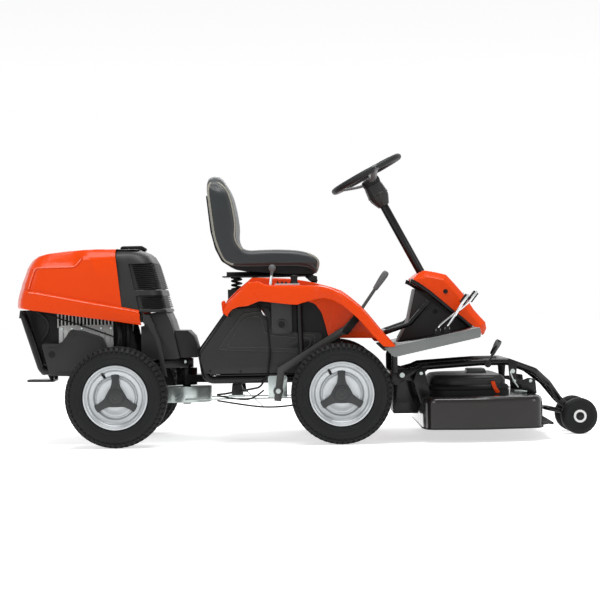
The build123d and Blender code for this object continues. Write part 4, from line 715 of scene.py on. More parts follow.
# Each round hole is drawn as a thin black disc on the plate: painted shade in place of an open hole.
hole = bmesh.new()
for side in (-1, 1):
    lathe(hole, [(0.01, 0), (12.6, 0), (12.6, 0.8), (0.01, 0.8)], aimed(-87, side * 247.3, 428, (0, side, 0)), 30)
piece("hanger_holes", hole, louvre_black, "front_chassis")
plate("hanger_plates", [(-124, 396), (-51, 396), (-51, 560), (-124, 560)], -243.6, -247.4, steel_grey,
      "front_chassis", corner=16, edge=1.0, both=True)
for side, name in SIDES:
    run(f"console_post_{name}", [(-22, side * 236.5, 540), (-24, side * 236.5, 450), (-18, side * 236.5, 330),
                                 (-14, side * 236.5, 252)], 10.5, coat, "front_chassis", sides=4)

# ---- Seat --------------------------------------------------------------------------------------------
# A one-piece bucket of moulded foam under black grained vinyl, whose back and cushion flow into each other. The
# side bolsters stand proud, and beige piping is sewn into the seams. It is bolted to a black moulded shell, which
# tips on a front hinge and rests on two coil springs.

# Grained vinyl: dark blue-black with a leather grain and a soft sheen at a glancing angle.
vinyl = finish("black_grained_vinyl", "#111618", "#171D20", rough=(0.38, 0.48), grain=1.4, relief=0.22,
               Specular_IOR_Level=0.45, Sheen_Weight=0.15)
# Piping vinyl: a matt beige cord.
piping = finish("beige_piping_vinyl", "#77756A", "#858377", rough=(0.45, 0.55), grain=1.0, relief=0.08)
SEAT_HALF = 232.0
face_line = [(50, 626), (57, 650), (46, 672), (14, 688), (-34, 698), (-102, 701), (-166, 700), (-200, 697),
             (-224, 704), (-240, 722), (-249, 748), (-245, 779), (-246, 809), (-257, 877), (-270, 926), (-289, 957),
             (-306, 976)]
shell_line = [(44, 608), (20, 632), (-20, 640), (-80, 640), (-150, 640), (-210, 640), (-262, 641), (-290, 655),
              (-314, 690), (-326, 724), (-334, 752), (-339, 790), (-345, 838), (-350, 880), (-354, 925), (-353, 958),
              (-344, 977)]
across = [-1.0, -0.985, -0.955, -0.9, -0.82, -0.74, -0.68, -0.62, -0.5, -0.25, 0.0]
across += [-a for a in reversed(across[:-1])]


def seat_point(a, k, front, proud=0.0):
    """A point of the seat: a is the share of its half width, k the place along the front or the rear line."""
    line = face_line if front else shell_line
    w, up = abs(a), k / (len(line) - 1)
    end = max(0.0, (w - 0.86) / 0.14)
    tuck = 26 * (1 - math.sqrt(max(0.0, 1 - end ** 2)))
    x, z = line[k]
    if front:
        before, after = line[max(0, k - 1)], line[min(len(line) - 1, k + 1)]
        out = Vector((after[1] - before[1], before[0] - after[0])).normalized()
        dish = 20 * (0.5 + 0.5 * math.cos(math.pi * min(1, w / 0.68))) + 3.5 * max(0, 1 - abs(w - 0.68) / 0.07)
        drop = dish * math.sin(math.pi * min(1, up * 1.02)) ** 0.5 + tuck - proud
        x, z = x - out.x * drop, z - out.y * drop
    else:
        x += tuck * 0.35 if up > 0.45 else 0
        z += (tuck * 0.4 if up < 0.4 else 0) + (17 if up < 0.05 and w < 0.55 else 0)
    narrow = 1 - 0.12 * max(0, (up - 0.72) / 0.28) ** 2 - 0.05 * max(0, (0.1 - up) / 0.1)
    lift = -34 * w ** 6 * max(0, (up - 0.8) / 0.2)
    return x, a * SEAT_HALF * narrow, z + lift


shape = bmesh.new()
slices = []
for a in across:
    slices.append([seat_point(a, k, True) for k in range(len(face_line))]
                  + [seat_point(a, k, False) for k in reversed(range(len(shell_line)))])
slices = wrap(shape, slices, True)
n = len(slices[0])
for row in (slices[0], slices[-1]):
    for k in range(n // 2 - 1):
        shape.faces.new((row[k], row[k + 1], row[n - 2 - k], row[n - 1 - k]))
bmesh.ops.recalc_face_normals(shape, faces=shape.faces)
seat = piece("seat_pad", shape, vinyl, "seat", ["seat_cushion", "seat_back"], smooth=60)
plump = seat.modifiers.new("foam", "SUBSURF")
plump.levels = plump.render_levels = 2
settle(seat)
seat.data.shade_smooth()

for side, name in SIDES:
    back_seam = [seat_point(side * 0.95, k, True, -1.0) for k in range(8, len(face_line))]
    lip_seam = [seat_point(side * 0.95, k, True, -1.0) for k in range(4)]
    rear_seam = [seat_point(side * 0.985, k, False) for k in range(6, len(shell_line))]
    run(f"piping_back_{name}", back_seam, 3.6, piping, "seat")
    run(f"piping_lip_{name}", lip_seam, 3.6, piping, "seat")
    run(f"piping_rear_{name}", [(x + 2, y, z) for x, y, z in rear_seam], 4.0, piping, "seat")
shell_upper = [(-210, 642), (-268, 644), (-300, 668), (-322, 712), (-338, 772), (-352, 900), (-357, 900), (-343, 770),
               (-327, 706), (-304, 660), (-264, 634)]
plate("seat_shell", [(30, 626), (34, 640)] + shell_upper + [(-200, 624), (20, 624)], -103, 103, louvre_black, "seat",
      ["seat_pan"], corner=6, edge=3)
plate("seat_skirts", [(38, 612), (42, 630), (30, 640)] + shell_upper + [(-200, 622), (-60, 609), (20, 609)], -103,
      -186, louvre_black, "seat", corner=6, edge=3, both=True)
for side, name in SIDES:
    coil = [(-256 + 17 * math.cos(k * math.pi / 4), side * 85 + 17 * math.sin(k * math.pi / 4),
             558 + 42 * min(1, max(0, (k - 4) / 22))) for k in range(31)]
    run(f"seat_spring_{name}", coil, 3.4, coat, "seat_carrier", ["seat_springs"] if side < 0 else (),
        sides=3)
plate("seat_wedge", [(-2, 604), (30, 604), (48, 584), (40, 578), (20, 584)], -104, -121, coat, "seat_carrier",
      corner=3, edge=1, both=True)

# ---- Steering wheel ----------------------------------------------------------------------------------
# A soft black rim moulded over a steel hoop, three grey spokes dished down to the hub, and a ribbed shroud that
# narrows on to the column tube.

# Self-skinning foam: matt black with a fine skin.
soft_black = finish("soft_rim_foam", "#0E1011", "#161819", rough=(0.5, 0.6), grain=1.2, relief=0.15,
                    Specular_IOR_Level=0.35)
wheel_up = Vector((-0.469472, 0, 0.882948))
wheel_fore = Vector((0.882948, 0, 0.469472))
wheel_mid = Vector((237.29, 0, 980.96))
SPOKES = (77, 180, 283)
AROUND, ROUND_RIM = 96, 18


def wheel_point(angle, radius, height):
    """A point in metres of the tilted wheel, from its angle in degrees and its radius and height in millimetres."""
    a = math.radians(angle)
    return (wheel_mid + wheel_fore * radius * math.cos(a) + Vector((0, 1, 0)) * radius * math.sin(a)
            + wheel_up * height) * MM


shape = bmesh.new()
rings = []
for k in range(AROUND):
    angle = 360 * k / AROUND
    ring = []
    for j in range(ROUND_RIM):
        b = 2 * math.pi * j / ROUND_RIM
        swell = 13.0 if min(abs(angle - s) for s in SPOKES) > 12 else 12.2
        ring.append(shape.verts.new(wheel_point(angle, 134.5 + swell * math.cos(b), swell * 0.94 * math.sin(b))))
    rings.append(ring)
for k in range(AROUND):
    one, two = rings[k], rings[(k + 1) % AROUND]
    for j in range(ROUND_RIM):
        shape.faces.new((one[j], one[(j + 1) % ROUND_RIM], two[(j + 1) % ROUND_RIM], two[j]))
bmesh.ops.recalc_face_normals(shape, faces=shape.faces)
piece("wheel_rim", shape, soft_black, "steering", ["steering_wheel"], smooth=50)
# Filled nylon: mid grey and satin.
spoke_grey = finish("grey_spoke_nylon", "#4C4E4F", "#585A5B", rough=(0.36, 0.44), grain=0.9, relief=0.06,
                    Specular_IOR_Level=0.45)
shape = bmesh.new()
for angle in SPOKES:
    rows = []
    for r, h, w, t in ((22, -34, 17, 7), (50, -30, 15, 6), (92, -15, 14, 5.5), (122, -4, 17, 6), (131, 0, 19, 13.4),
                       (138, 0, 19.5, 13.6), (147.3, 0, 17, 7)):
        a = math.radians(angle)
        side_way = Vector((0, 1, 0)) * math.cos(a) - wheel_fore * math.sin(a)
        mid = wheel_point(angle, r, h)
        rows.append([shape.verts.new(mid + (side_way * u * w + wheel_up * v * t) * MM) for u, v in
                     ((-1, -0.35), (-0.6, -1), (0.6, -1), (1, -0.35), (1, 0.35), (0.6, 1), (-0.6, 1), (-1, 0.35))])
    for one, two in zip(rows, rows[1:]):
        for j in range(8):
            shape.faces.new((one[j], one[(j + 1) % 8], two[(j + 1) % 8], two[j]))
    shape.faces.new(rows[0])
    shape.faces.new(rows[-1])
bmesh.ops.recalc_face_normals(shape, faces=shape.faces)
spokes = piece("wheel_spokes", shape, spoke_grey, "steering", smooth=40)
soft = spokes.modifiers.new("mould", "SUBSURF")
soft.levels = soft.render_levels = 1
settle(spokes)
place = aimed(*wheel_mid, wheel_up)
shape = lathe(bmesh.new(), [(0.01, -50), (30, -50), (34, -46), (36, -34), (35, -26), (31, -21), (24, -19),
                            (22, -17.5), (0.01, -17)], place, 48)
piece("wheel_boss", shape, louvre_black, "steering", smooth=30)
shape = lathe(bmesh.new(), [(17, -136), (21, -136), (24, -131), (33, -112), (37, -102), (38, -93), (40, -91),
                            (40, -87), (38.5, -85), (36, -60), (34, -48), (0.01, -48)], place, 12)
piece("column_shroud", shape, charcoal, "steering", smooth=20)

# ---- Cowl --------------------------------------------------------------------------------------------
# The orange nose cone over the foot well: one ABS moulding with planed facets, bolted at each side to a bent, black
# coated tube that follows its lower edge.
cowl_line = [(395, 586), (420, 606), (439, 615), (478, 608), (518, 598), (548, 565), (578, 529), (600, 496),
             (617, 469), (640, 442), (660, 420), (663, 397), (655, 378), (648, 373)]
cowl_edge = [(632, 388), (612, 408), (578, 436), (541, 465), (500, 501), (459, 537), (430, 556), (404, 572)]
middle = Vector((530, 490))
levels = []
for y, inset in ((-170, 27), (-169.4, 24), (-167.8, 22.2), (-146, 1.8), (-142, 0.3), (-136, 0), (-60, 0), (0, 0),
                 (60, 0), (136, 0), (142, 0.3), (146, 1.8), (167.8, 22.2), (169.4, 24), (170, 27)):
    loop = []
    for k, p in enumerate(cowl_line):
        before, after = Vector(cowl_line[max(0, k - 1)]), Vector(cowl_line[min(len(cowl_line) - 1, k + 1)])
        way = (after - before).normalized()
        out = Vector((-way.y, way.x))
        if out.dot(Vector(p) - middle) < 0:
            out = -out
        q = Vector(p) - out * inset * (0.3 if k in (0, len(cowl_line) - 1) else 1)
        loop.append((q.x, y, q.y))
    loop += [(x, y, z) for x, z in cowl_edge]
    levels.append(loop)
piece("cowl_moulding", closed_skin(levels), orange, "front_chassis", ["cowl"], smooth=24)
edge_tube = [(386, 580), (396, 577), (420, 562), (459, 533), (500, 497), (541, 461), (578, 432), (604, 406)]
for side, name in SIDES:
    run(f"cowl_edge_{name}", [(x, side * 166, z - 3) for x, z in edge_tube], 8.5, coat, "front_chassis",
        sides=5)
rounded_copy("tunnel", louvre_black, "front_chassis", 3.0)
# Charcoal sheet: matt and grained, and darker than the other charcoal: painted shade under the cowl.
shaded_well_grey = finish("charcoal_foot_well_painted_shade", "#191A1B", "#222324", rough=(0.45, 0.55), grain=0.9, relief=0.08,
                   Specular_IOR_Level=0.35)
# The foot-well sides take the darker charcoal as painted shade.
plate("foot_well_sides", [(345, 365), (384, 434), (408, 544), (459, 526), (541, 455), (606, 402), (600, 398),
                          (352, 358)], -112, -114, shaded_well_grey, "front_chassis", corner=8, edge=1,
      both=True)

# ---- Footplate and pedals ----------------------------------------------------------------------------
# A sheet-steel footplate with grey folded edge trims screwed along its sides. Three pedals of bent bright bar turn on
# bushes under it, each with a welded plate and a ribbed rubber pad.

# Painted folded steel: mid grey and satin.
trim_grey = finish("grey_folded_trim", "#5D6160", "#6A6E6C", rough=(0.34, 0.42), grain=1.0, relief=0.04, metallic=0.2)
rounded_copy("footplate", coat, "front_chassis", 1.2)
plate("footplate_edges", [(276, 338.2), (613, 405.4), (617, 397), (616, 371), (310, 305.6)], -400.4, -412.2,
      trim_grey, "front_chassis", ["footplate_trims"], corner=5, edge=2.6, both=True, segments=3)
# The same paint along the fold, drawn paler: a painted highlight where the fold catches the light.
fold_painted_highlight = finish("fold_painted_highlight", "#7C807E", "#878B89", rough=(0.34, 0.42), grain=1.0, relief=0.03)
# A thin pale strip along each trim's fold: painted highlight.
plate("footplate_fold_highlights", [(277, 339.4), (613, 406.2), (614, 404), (278, 336.6)], -392, -411, fold_painted_highlight,
      "front_chassis", corner=0.6, edge=0.5, both=True)
for node, y, foot, x, z, angle, size in (("pedal_forward", -232, (479, 394.8), 607, 516, -52, 44),
                                         ("pedal_reverse", -272, (509, 400.8), 574, 506, -52, 40),
                                         ("pedal_brake", 236, (479, 394.8), 594, 506, -50, 60)):
    a = math.radians(angle)
    way = Vector((math.cos(a), 0, -math.sin(a)))
    run(f"{node}_rod", [(foot[0], y, foot[1]), (foot[0] + 2, y, foot[1] + 10), (foot[0] + 14, y, foot[1] + 24),
                        (x - 14, y, z - 22), (x - 4, y, z - 4)], 5.2, chrome, node, [node], sides=5)
    shape = lathe(bmesh.new(), [(5, -5.5), (9, -5.5), (9.6, -4.5), (9.6, 4.5), (9, 5.5), (5, 5.5), (5, -5.5)],
                  aimed(foot[0], y, foot[1], (0, 1, 0)), 28)
    laid = Matrix.Rotation(a, 4, "Y")
    made = bmesh.ops.create_cube(shape, size=1, matrix=Matrix.Translation(Vector((x, y, z)) * MM) @ laid
                                 @ Matrix.Diagonal(((size + 3) * MM, 37 * MM, 9 * MM, 1)))
    bmesh.ops.bevel(shape, geom=list({e for v in made["verts"] for e in v.link_edges}), offset=1.4 * MM, segments=2,
                    profile=0.5, affect="EDGES")
    piece(f"{node}_plate", shape, chrome, node, smooth=40)
    shape = bmesh.new()
    for k in range(5):
        bmesh.ops.create_cube(shape, size=1,
                              matrix=Matrix.Translation((Vector((x, y, z)) + way * (k - 2) * size / 5.4) * MM) @ laid
                              @ Matrix.Diagonal((size / 6.4 * MM, 33 * MM, 20 * MM, 1)))
    bmesh.ops.bevel(shape, geom=shape.edges[:], offset=1.2 * MM, segments=2, profile=0.5, affect="EDGES")
    piece(f"{node}_rubber", shape, louvre_black, node, smooth=40)

# ---- Lift lever --------------------------------------------------------------------------------------
# A flat grey steel arm turns on a zinc-plated bracket bolted to the frame. A ribbed black socket holds the straight
# rod, and a grey nylon grip is pushed on to its end.

# Bright zinc plate: a cool metal sheen with slow cloudy patches.
zinc = finish("bright_zinc_plate", "#AEB8B6", "#C2CBC9", metallic=0.85, rough=(0.24, 0.34), grain=1.4, relief=0.03)
# Painted flat bar: dark grey, worn smooth.
arm_grey = finish("grey_flat_steel", "#343534", "#3F403E", rough=(0.36, 0.44), grain=1.2, relief=0.05, metallic=0.2)
rounded_copy("lift_lever", arm_grey, "lift", 1.2)
rod = Vector((59, 0, 84)).normalized()
grip = Vector((174, -256, 438)) + rod * 134
shape = lathe(bmesh.new(), [(6.4, 0), (8, 0), (9, 3), (10.4, 22), (12.2, 44), (12.6, 62), (11.4, 72), (8, 77),
                            (0.01, 78.4)], aimed(*grip, rod), 32)
piece("lift_grip_moulding", shape, grip_grey, "lift", ["lift_grip"], smooth=50)
plate("lift_socket", [(128, 396), (150, 385), (196, 440), (176, 458)], -247.5, -264.5, louvre_black, "lift",
      corner=4, edge=2)
rib_tree, given = growing_tree("socket_ribs", [
    ("Count", "Int"), ("Step", "Vector"), ("Size", "Vector"), ("Start", "Vector"), ("Turn", "Vector"),
    ("Finish", "Material")], on_mesh=False)
row = put(rib_tree, "GeometryNodeMeshLine", {"Count": given["Count"], "Offset": given["Step"],
                                             "Start Location": given["Start"]}, mode="OFFSET")
bar = put(rib_tree, "GeometryNodeMeshCube", {"Size": given["Size"]})
bars = put(rib_tree, "GeometryNodeInstanceOnPoints", {"Points": row.outputs["Mesh"], "Instance": bar.outputs["Mesh"],
                                                      "Rotation": given["Turn"]})
bars = put(rib_tree, "GeometryNodeRealizeInstances", {"Geometry": bars.outputs[0]})
bars = put(rib_tree, "GeometryNodeSetMaterial", {"Geometry": bars.outputs[0], "Material": given["Finish"]})
put(rib_tree, "NodeGroupOutput", {"Geometry": bars.outputs[0]})


def bar_row(name, count, start, step, size, turn, material, body, edge=0.8):
    """A row of equal bars, made by the tree above, sizes in millimetres."""
    made = bpy.data.objects.new(name, bpy.data.meshes.new(name))
    bpy.context.scene.collection.objects.link(made)
    grow(made, rib_tree, {"Count": count, "Start": Vector(start) * MM, "Step": Vector(step) * MM,
                          "Size": Vector(size) * MM, "Turn": Vector(turn), "Finish": material})
    worn(made, edge)
    settle(made)
    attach(made, body)


bar_row("lift_socket_ribs", 7, (141, -256, 402), (5.2, 0, 5.9), (3, 18.6, 19), (0, -0.85, 0), louvre_black, "lift")
plate("lift_bracket", [(-141, 163), (-141, 241), (-72, 241), (-72, 163)], -233.2, -236.4, zinc, "front_chassis",
      corner=6, edge=0.8)

# ---- Deck --------------------------------------------------------------------------------------------
# The cutting deck is pressed from 4 mm steel in gloss graphite: round corners, a rolled shoulder, and a thin rim
# turned out along the bottom. Brackets and arms in black steel hang it in its frame.

# Stoved enamel on smooth steel: nearly black, with clear broad reflections.
graphite = finish("gloss_graphite_enamel", "#171514", "#1F1C1B", rough=(0.16, 0.24), grain=2.0, relief=0.02,
                  drift=140, Specular_IOR_Level=0.4, Coat_Weight=0.2, Coat_Roughness=0.06)
deck_plan = [(412, -330), (428, -408), (600, -443), (824, -402), (842, -330)]
deck_plan += [(x, -y) for x, y in reversed(deck_plan)]
deck_loop = rounded(deck_plan, 46, 7)


def shrunk(loop, amount, z):
    """A plan outline drawn in by an amount, at one height."""
    out = []
    n = len(loop)
    for k in range(n):
        way = (Vector(loop[(k + 1) % n]) - Vector(loop[k - 1])).normalized()
        out.append((loop[k][0] + way.y * -amount, loop[k][1] + way.x * amount, z))
    return out


shape = bmesh.new()
outside = [(4, 46), (-3.2, 46), (-4.2, 48), (-3.2, 50), (-0.5, 51), (0, 55), (0, 138), (1.5, 147), (6, 154.5),
           (13, 158.8), (22, 160)]
inside = [(4, 46), (4, 144), (12, 155), (22, 156)]
for steps in (outside, inside):
    strings = wrap(shape, [shrunk(deck_loop, inset, z) for inset, z in steps], True)
    shape.faces.new(strings[-1])
bmesh.ops.remove_doubles(shape, verts=shape.verts, dist=1e-6)
bmesh.ops.recalc_face_normals(shape, faces=shape.faces)
piece("deck_pressing", shape, graphite, "deck", ["deck_shell"], smooth=40)
plate("deck_front_lip", [(838, 78), (842, 84), (868, 68), (880, 60), (879, 52), (862, 55), (700, 46), (700, 42.5),
                         (800, 44), (838, 56)], -330, 330, graphite, "deck", corner=3, edge=2)
plate("deck_hangers", [(784, 158), (837, 158), (832, 212), (806, 216), (788, 209), (744, 209), (744, 201),
                       (784, 191)], -194.6, -199, coat, "deck", corner=4, edge=0.8, both=True)
plate("deck_arms", [(403, 258), (428, 252), (444, 174), (440, 140), (413, 125), (387, 211)], -226, -231, coat, "deck",
      corner=8, edge=1.2, both=True)
shape = bmesh.new()
for side in (-1, 1):
    lathe(shape, [(10.2, 156), (32, 156), (32, 118), (26, 112), (10.2, 112)],
          Matrix.Translation((0.627, side * 0.211, 0)), 40)
piece("spindle_housings", shape, coat, "deck")

# ---- Belt guard --------------------------------------------------------------------------------------
# A two-tier guard in black and charcoal ABS over the belts, with a grey tower over the drive pulley and a short
# orange lock tab. The zinc-plated springs and rod of the height setting stand at its front.
guard_low = [(437, -215), (500, -262), (700, -262), (735, -225)]
guard_low += [(x, -y) for x, y in reversed(guard_low)]
guard_high = [(452, -160), (520, -238), (690, -238), (724, -200)]
guard_high += [(x, -y) for x, y in reversed(guard_high)]
low_loop, high_loop = rounded(guard_low, 34, 5), rounded(guard_high, 34, 5)
low_steps = [(8, 160.5), (0, 160.5), (0, 176), (3, 178), (3, 180), (0, 182), (2, 190), (8, 195.4), (18, 196)]
high_steps = [(0, 195), (0, 212), (3, 214), (3, 216), (6, 222), (14, 228.5), (26, 230.6)]
piece("belt_guard_base", closed_skin([shrunk(low_loop, inset, z) for inset, z in low_steps]), louvre_black, "deck",
      ["belt_cover"], smooth=35)
piece("belt_guard_top", closed_skin([shrunk(high_loop, inset, z) for inset, z in high_steps]), charcoal, "deck",
      smooth=35)
plate("belt_guard_tower", [(594, 229), (670, 229), (664, 247.6), (598, 247.6)], -44, 44, trim_grey, "deck",
      corner=5, edge=3)
plate("lock_tab_face", [(664, 208), (678, 208), (684, 188), (697, 168), (682, 165), (670, 186)], -257, -264.6, orange,
      "deck", corner=3, edge=1.2)
for x, z in ((771, 168), (786, 166)):
    coil = [(x + 30 * k / 60 - 15, -203 + 4.2 * math.cos(k * math.pi / 3), z + 4.2 * math.sin(k * math.pi / 3))
            for k in range(61)]
    run(f"deck_spring_{x}", coil, 1.1, zinc, "deck", sides=2)
run("height_rod", [(740, -207, 240), (747, -213, 216), (758, -213, 196), (768, -213, 182)], 3.0, zinc, "deck_carrier")

# ---- Support wheels ----------------------------------------------------------------------------------
# Two solid rubber wheels at the very front of the deck frame turn on its cross bolt. Each has a white nylon ring
# pressed into its hub and a black cap. The height lever beside them is coated steel with a grey grip.

# White nylon: warm white and satin.
white_nylon = finish("white_nylon", "#C9CAC8", "#D6D7D5", rough=(0.35, 0.45), grain=1.0, relief=0.03)
half_tyre = [(27.3, 8.1), (27.3, 26), (25.5, 28), (25.5, 46), (27.5, 50), (26, 57), (22.5, 62), (17, 66), (11, 66.9)]
support_tyre = half_tyre + [(-w, r) for w, r in reversed(half_tyre)]
for side, body in ((-1, "support_wheel_right"), (1, "support_wheel_left")):
    centre = (1.006, side * 0.086, 0.067)
    for part, section, steps, material, slot, nodes in (
        ("tyre", support_tyre, 80, rubber, "wheel_rubber", [body]),
        ("ring", [(27.2, 15.5), (29.4, 15.5), (29.8, 17), (29.8, 21.5), (29, 23.5), (27.2, 23.5)], 48, white_nylon,
         "white_plastic", ()),
        ("cap", [(27.2, 8.2), (29.0, 8.2), (29.0, 15.0), (27.2, 15.0)], 32, louvre_black, "black_plastic", ()),
    ):
        shape = turned(bmesh.new(), section, centre, side, steps)
        bmesh.ops.recalc_face_normals(shape, faces=shape.faces)
        piece(f"{body}_{part}", shape, material, body, nodes, smooth=30)
rounded_copy("height_lever", coat, "height_control", 1.2)
lean = Vector((28, 0, 50)).normalized()
shape = lathe(bmesh.new(), [(0.01, -1), (7.5, -1), (9, 3), (10, 20), (12.2, 38), (12, 52), (9, 58), (0.01, 59)],
              aimed(675, -206, 304, lean), 28)
piece("height_grip", shape, grip_grey, "height_control", smooth=50)

# ---- Engine bay --------------------------------------------------------------------------------------
# An air-cooled twin stands in the open bay: bead-blasted aluminium with cast fins, a black fan shroud, rubber hoses
# and a throttle cable. Charcoal plates close the bay's lower sides.

# Bead-blasted aluminium: pale, granular and nearly matt.
cast = finish("bead_blasted_aluminium", "#8E908F", "#A6A8A6", metallic=0.75, rough=(0.42, 0.55), grain=1.6,
              relief=0.12, drift=40)
for node, material, slot, edge in (
    ("engine_block", cast, "cast_aluminium", 1.0), ("transaxle", cast, "cast_aluminium", 4.0),
    ("engine_shroud", louvre_black, "black_plastic", 5.0), ("muffler", coat, "muffler_steel", 4.0),
    ("air_cleaner", louvre_black, "black_plastic", 5.0), ("steering_drum", zinc, "zinc_steel", 2.0),
    ("fairing", charcoal, "dark_grey_plastic", 3.0),
):
    rounded_copy(node, material, "rear_chassis", edge)
bar_row("cylinder_fins", 16, (-905, -176, 458), (13.2, 0, 0), (5.5, 20, 60), (0, 0, 0), cast, "rear_chassis")
bar_row("cylinder_fins_left", 16, (-905, 168, 440), (13.2, 0, 0), (5.5, 20, 60), (0, 0, 0), cast, "rear_chassis")
plate("crank_side", [(-902, 350), (-902, 436), (-704, 436), (-704, 350), (-730, 336), (-880, 336)], -183, -189, cast,
      "rear_chassis", corner=10, edge=2)
bar_row("crank_bolts", 6, (-890, -190.4, 424), (35.6, 0, 0), (9, 5, 9), (0, 0.6, 0), zinc, "rear_chassis",
        edge=1.2)
bar_row("block_ribs", 9, (-888, -190, 386), (22, 0, 0), (4, 5, 54), (0, 0, 0), cast, "rear_chassis")
run("oil_hose", [(-690, -150, 470), (-684, -184, 440), (-676, -196, 400), (-682, -190, 356), (-700, -160, 330)], 11,
    louvre_black, "rear_chassis", sides=5)
run("breather_hose", [(-668, -120, 480), (-652, -176, 452), (-648, -186, 410), (-654, -180, 360), (-668, -150, 330)],
    8, louvre_black, "rear_chassis", sides=5)
run("throttle_cable", [(-958, -192, 482), (-900, -198, 462), (-820, -199, 436), (-740, -199, 408), (-700, -196, 392)],
    2.4, louvre_black, "rear_chassis")
run("fuel_hose", [(-978, -188, 488), (-948, -196, 470), (-934, -196, 440), (-946, -190, 402), (-968, -176, 380)], 5,
    louvre_black, "rear_chassis", sides=4)
# Black sheets across the bay, behind the engine: painted shade that keeps the inside of the bay dark.
plate("bay_shade_backs", [(-1046, 494), (-1000, 494), (-700, 452), (-640, 432), (-612, 310), (-700, 262), (-960, 262),
                   (-985, 330)], -150, -152, louvre_black, "rear_chassis", corner=8, edge=1,
      both=True)
side_sheet = [(-964, 368), (-950, 372), (-893, 370), (-857, 421), (-812, 417), (-740, 392), (-698, 300), (-698, 242),
              (-825, 250), (-878, 252), (-936, 254)]
plate("bay_side_plates", side_sheet, -205.4, -209, charcoal, "rear_chassis", corner=10, edge=1.2,
      both=True)
plate("bay_side_fields", [(-952, 356), (-888, 358), (-850, 404), (-812, 400), (-752, 378), (-712, 296), (-712, 262),
                          (-876, 266), (-926, 268)], -208.6, -211, charcoal, "rear_chassis",
      corner=12, edge=2.0, both=True, segments=3, smooth=60)
# Each round hole is drawn as a thin black disc on the plate: painted shade in place of an open hole.
shape = bmesh.new()
for side in (-1, 1):
    lathe(shape, [(0.01, 0), (12.5, 0), (12.5, 0.9), (0.01, 0.9)], aimed(-926, side * 210.6, 332, (0, side, 0)), 30)
piece("bay_plate_holes", shape, louvre_black, "rear_chassis")
rounded_copy("hood_latch", louvre_black, "hood", 4.0)

# ---- Louvres -----------------------------------------------------------------------------------------
# Thin louvres of plain black ABS fill the two windows of the nose, moulded as one insert that clips in from behind.
# Each is a little shorter than the one below it, and stands a little further back.
louvre_tree, given = growing_tree("louvre_stack", [("Count", "Int"), ("Step", "Vector"), ("Narrowing", "Float"),
                                                   ("Finish", "Material")])
stack = put(louvre_tree, "GeometryNodeMeshLine", {"Count": given["Count"], "Offset": given["Step"]}, mode="OFFSET")
number = put(louvre_tree, "GeometryNodeInputIndex").outputs[0]
less = put(louvre_tree, "ShaderNodeMath", {0: number, 1: given["Narrowing"]}, operation="MULTIPLY")
width = put(louvre_tree, "ShaderNodeMath", {0: 1.0, 1: less.outputs[0]}, operation="SUBTRACT")
size = put(louvre_tree, "ShaderNodeCombineXYZ", {"X": 1.0, "Y": width.outputs[0], "Z": 1.0})
slats = put(louvre_tree, "GeometryNodeInstanceOnPoints", {"Points": stack.outputs["Mesh"],
                                                          "Instance": given["Geometry"], "Scale": size.outputs[0]})
slats = put(louvre_tree, "GeometryNodeRealizeInstances", {"Geometry": slats.outputs[0]})
slats = put(louvre_tree, "GeometryNodeSetMaterial", {"Geometry": slats.outputs[0], "Material": given["Finish"]})
put(louvre_tree, "NodeGroupOutput", {"Geometry": slats.outputs[0]})
PITCH, LEAN_BACK, NARROWING = 7, 0.29, 0.0008
for name, z, count in (("louvres_low", 494.5, 7), ("louvres_high", 565, 13)):
    front = nose(z)[6:-6]
    shape = bmesh.new()
    wrap(shape, [[(x, y * scale, z + rise) for x, y, _ in front]
                 for scale, rise in ((0.995, 0), (0.995, 1.6), (0.965, 5.2), (0.965, 3.6))], False)
    slat = piece(name, shape, louvre_black, "hood", smooth=30)
    grow(slat, louvre_tree, {"Count": count, "Step": Vector((-LEAN_BACK * PITCH * MM, 0, PITCH * MM)),
                             "Narrowing": NARROWING * PITCH, "Finish": louvre_black})
    settle(slat)

# ---- Tank, battery and cables ------------------------------------------------------------------------
# The bay between the rails holds a sealed battery and a blow-moulded, natural-white fuel tank with a black cap.
# Sheathed cables run down the side panel in clips and back under the joint to the rear chassis.
for node, material, body, slot, edge in (
    ("battery", louvre_black, "front_chassis", "black_plastic", 4.0),
    ("fuel_tank", white_nylon, "front_chassis", "white_plastic", 4.0),
    ("fuel_cap", louvre_black, "fuel_cap", "black_plastic", 3.0),
    ("steering_wire", zinc, "front_chassis", "zinc_steel", 0.5),
    ("control_cable", louvre_black, "front_chassis", "cable_rubber", 0.5),
):
    rounded_copy(node, material, body, edge)
shape = lathe(bmesh.new(), [(0.01, -14), (3, -14), (3, -10), (5, -9), (5, 12), (4, 14), (0.01, 14)],
              aimed(-154, -241.2, 470, (-32, 0, 60)), 20)
piece("cable_ferrule", shape, chrome, "front_chassis")
run("lower_cable", [(-330, -150, 150), (-200, -178, 128), (-120, -190, 124), (-40, -196, 132), (60, -190, 146)], 3.2,
    louvre_black, "front_chassis")
run("lower_cable_two", [(-330, -140, 168), (-240, -170, 150), (-190, -190, 160), (-158, -214, 188)], 3.0,
    louvre_black, "front_chassis")
run("park_rod", [(-252, -170, 214), (-222, -176, 186), (-160, -182, 126)], 1.6, zinc, "front_chassis")
plate("pulley_bracket", [(-272, 214), (-238, 214), (-232, 176), (-244, 164), (-268, 164), (-276, 178)], -170, -206,
      coat, "front_chassis", corner=5, edge=1.2, both=True)
plate("pulley_straps", [(-286, 172), (-226, 172), (-226, 164), (-286, 164)], -168, -209, zinc, "front_chassis",
      corner=2, edge=0.8, both=True)

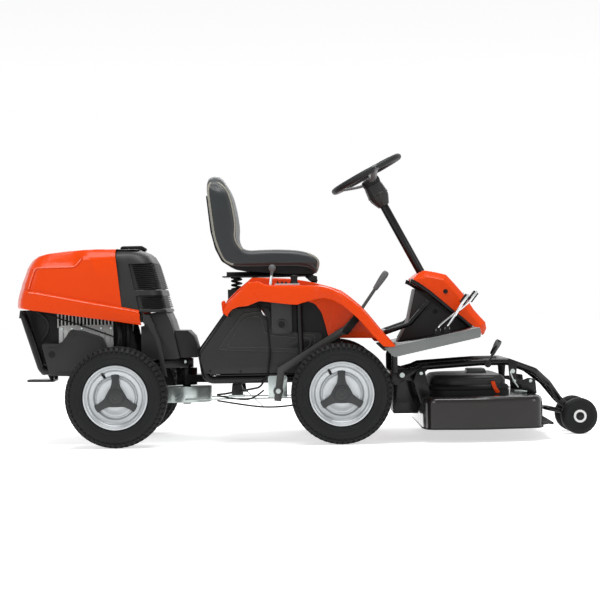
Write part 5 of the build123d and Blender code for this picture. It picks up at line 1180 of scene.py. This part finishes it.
# ---- Bolts -------------------------------------------------------------------------------------------
# Zinc-plated steel bolts with hexagon heads and pressed washers hold the brackets and the frames. The cowl, the foot
# well and the side panels have black ones.
bolt_tree, given = growing_tree("bolt_set", [("Radius", "Float"), ("Finish", "Material")])
head = put(bolt_tree, "GeometryNodeMeshCylinder", {"Vertices": 6, "Radius": 0.62, "Depth": 0.9})
washer = put(bolt_tree, "GeometryNodeMeshCylinder", {"Vertices": 24, "Radius": 1.0, "Depth": 0.3})
both = put(bolt_tree, "GeometryNodeJoinGeometry", {"Geometry": head.outputs["Mesh"]})
bolt_tree.links.new(washer.outputs["Mesh"], both.inputs["Geometry"])
bolts = put(bolt_tree, "GeometryNodeInstanceOnPoints", {"Points": given["Geometry"], "Instance": both.outputs[0],
                                                        "Rotation": (math.pi / 2, 0, 0), "Scale": given["Radius"]})
bolts = put(bolt_tree, "GeometryNodeRealizeInstances", {"Geometry": bolts.outputs[0]})
bolts = put(bolt_tree, "GeometryNodeSetMaterial", {"Geometry": bolts.outputs[0], "Material": given["Finish"]})
put(bolt_tree, "NodeGroupOutput", {"Geometry": bolts.outputs[0]})
for name, radius, material, body, slot, places in (
    ("cowl_bolts", 8.5, louvre_black, "front_chassis", "black_plastic", [(513, 170.6, 536)]),
    ("foot_well_bolts", 9, louvre_black, "front_chassis", "black_plastic", [(477, 115, 463)]),
    ("pivot_bolts", 9, zinc, "front_chassis", "zinc_steel", [(347, 212.5, 234), (-104, 263.6, 186)]),
    ("carrier_bolts", 8, zinc, "deck_carrier", "zinc_steel", [(411, 192, 227), (751, 195.5, 241)]),
    ("deck_bolts", 6, zinc, "deck", "zinc_steel", [(756, 200, 204.5), (815, 200, 205), (415, 232, 240)]),
    ("rear_bolts", 6, zinc, "rear_chassis", "zinc_steel", [(-452, 52, 292), (-690, 210, 270)]),
    ("panel_bolts", 4.5, louvre_black, "front_chassis", "black_plastic",
     [(-350, 234, 262), (-30, 234, 262), (-276, 234, 462), (-240, 234, 258)]),
):
    mesh = bpy.data.meshes.new(name)
    mesh.from_pydata([(x * MM, side * y * MM, z * MM) for x, y, z in places for side in (-1, 1)], [], [])
    made = bpy.data.objects.new(name, mesh)
    bpy.context.scene.collection.objects.link(made)
    grow(made, bolt_tree, {"Radius": radius * MM, "Finish": material})
    settle(made)
    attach(made, body)
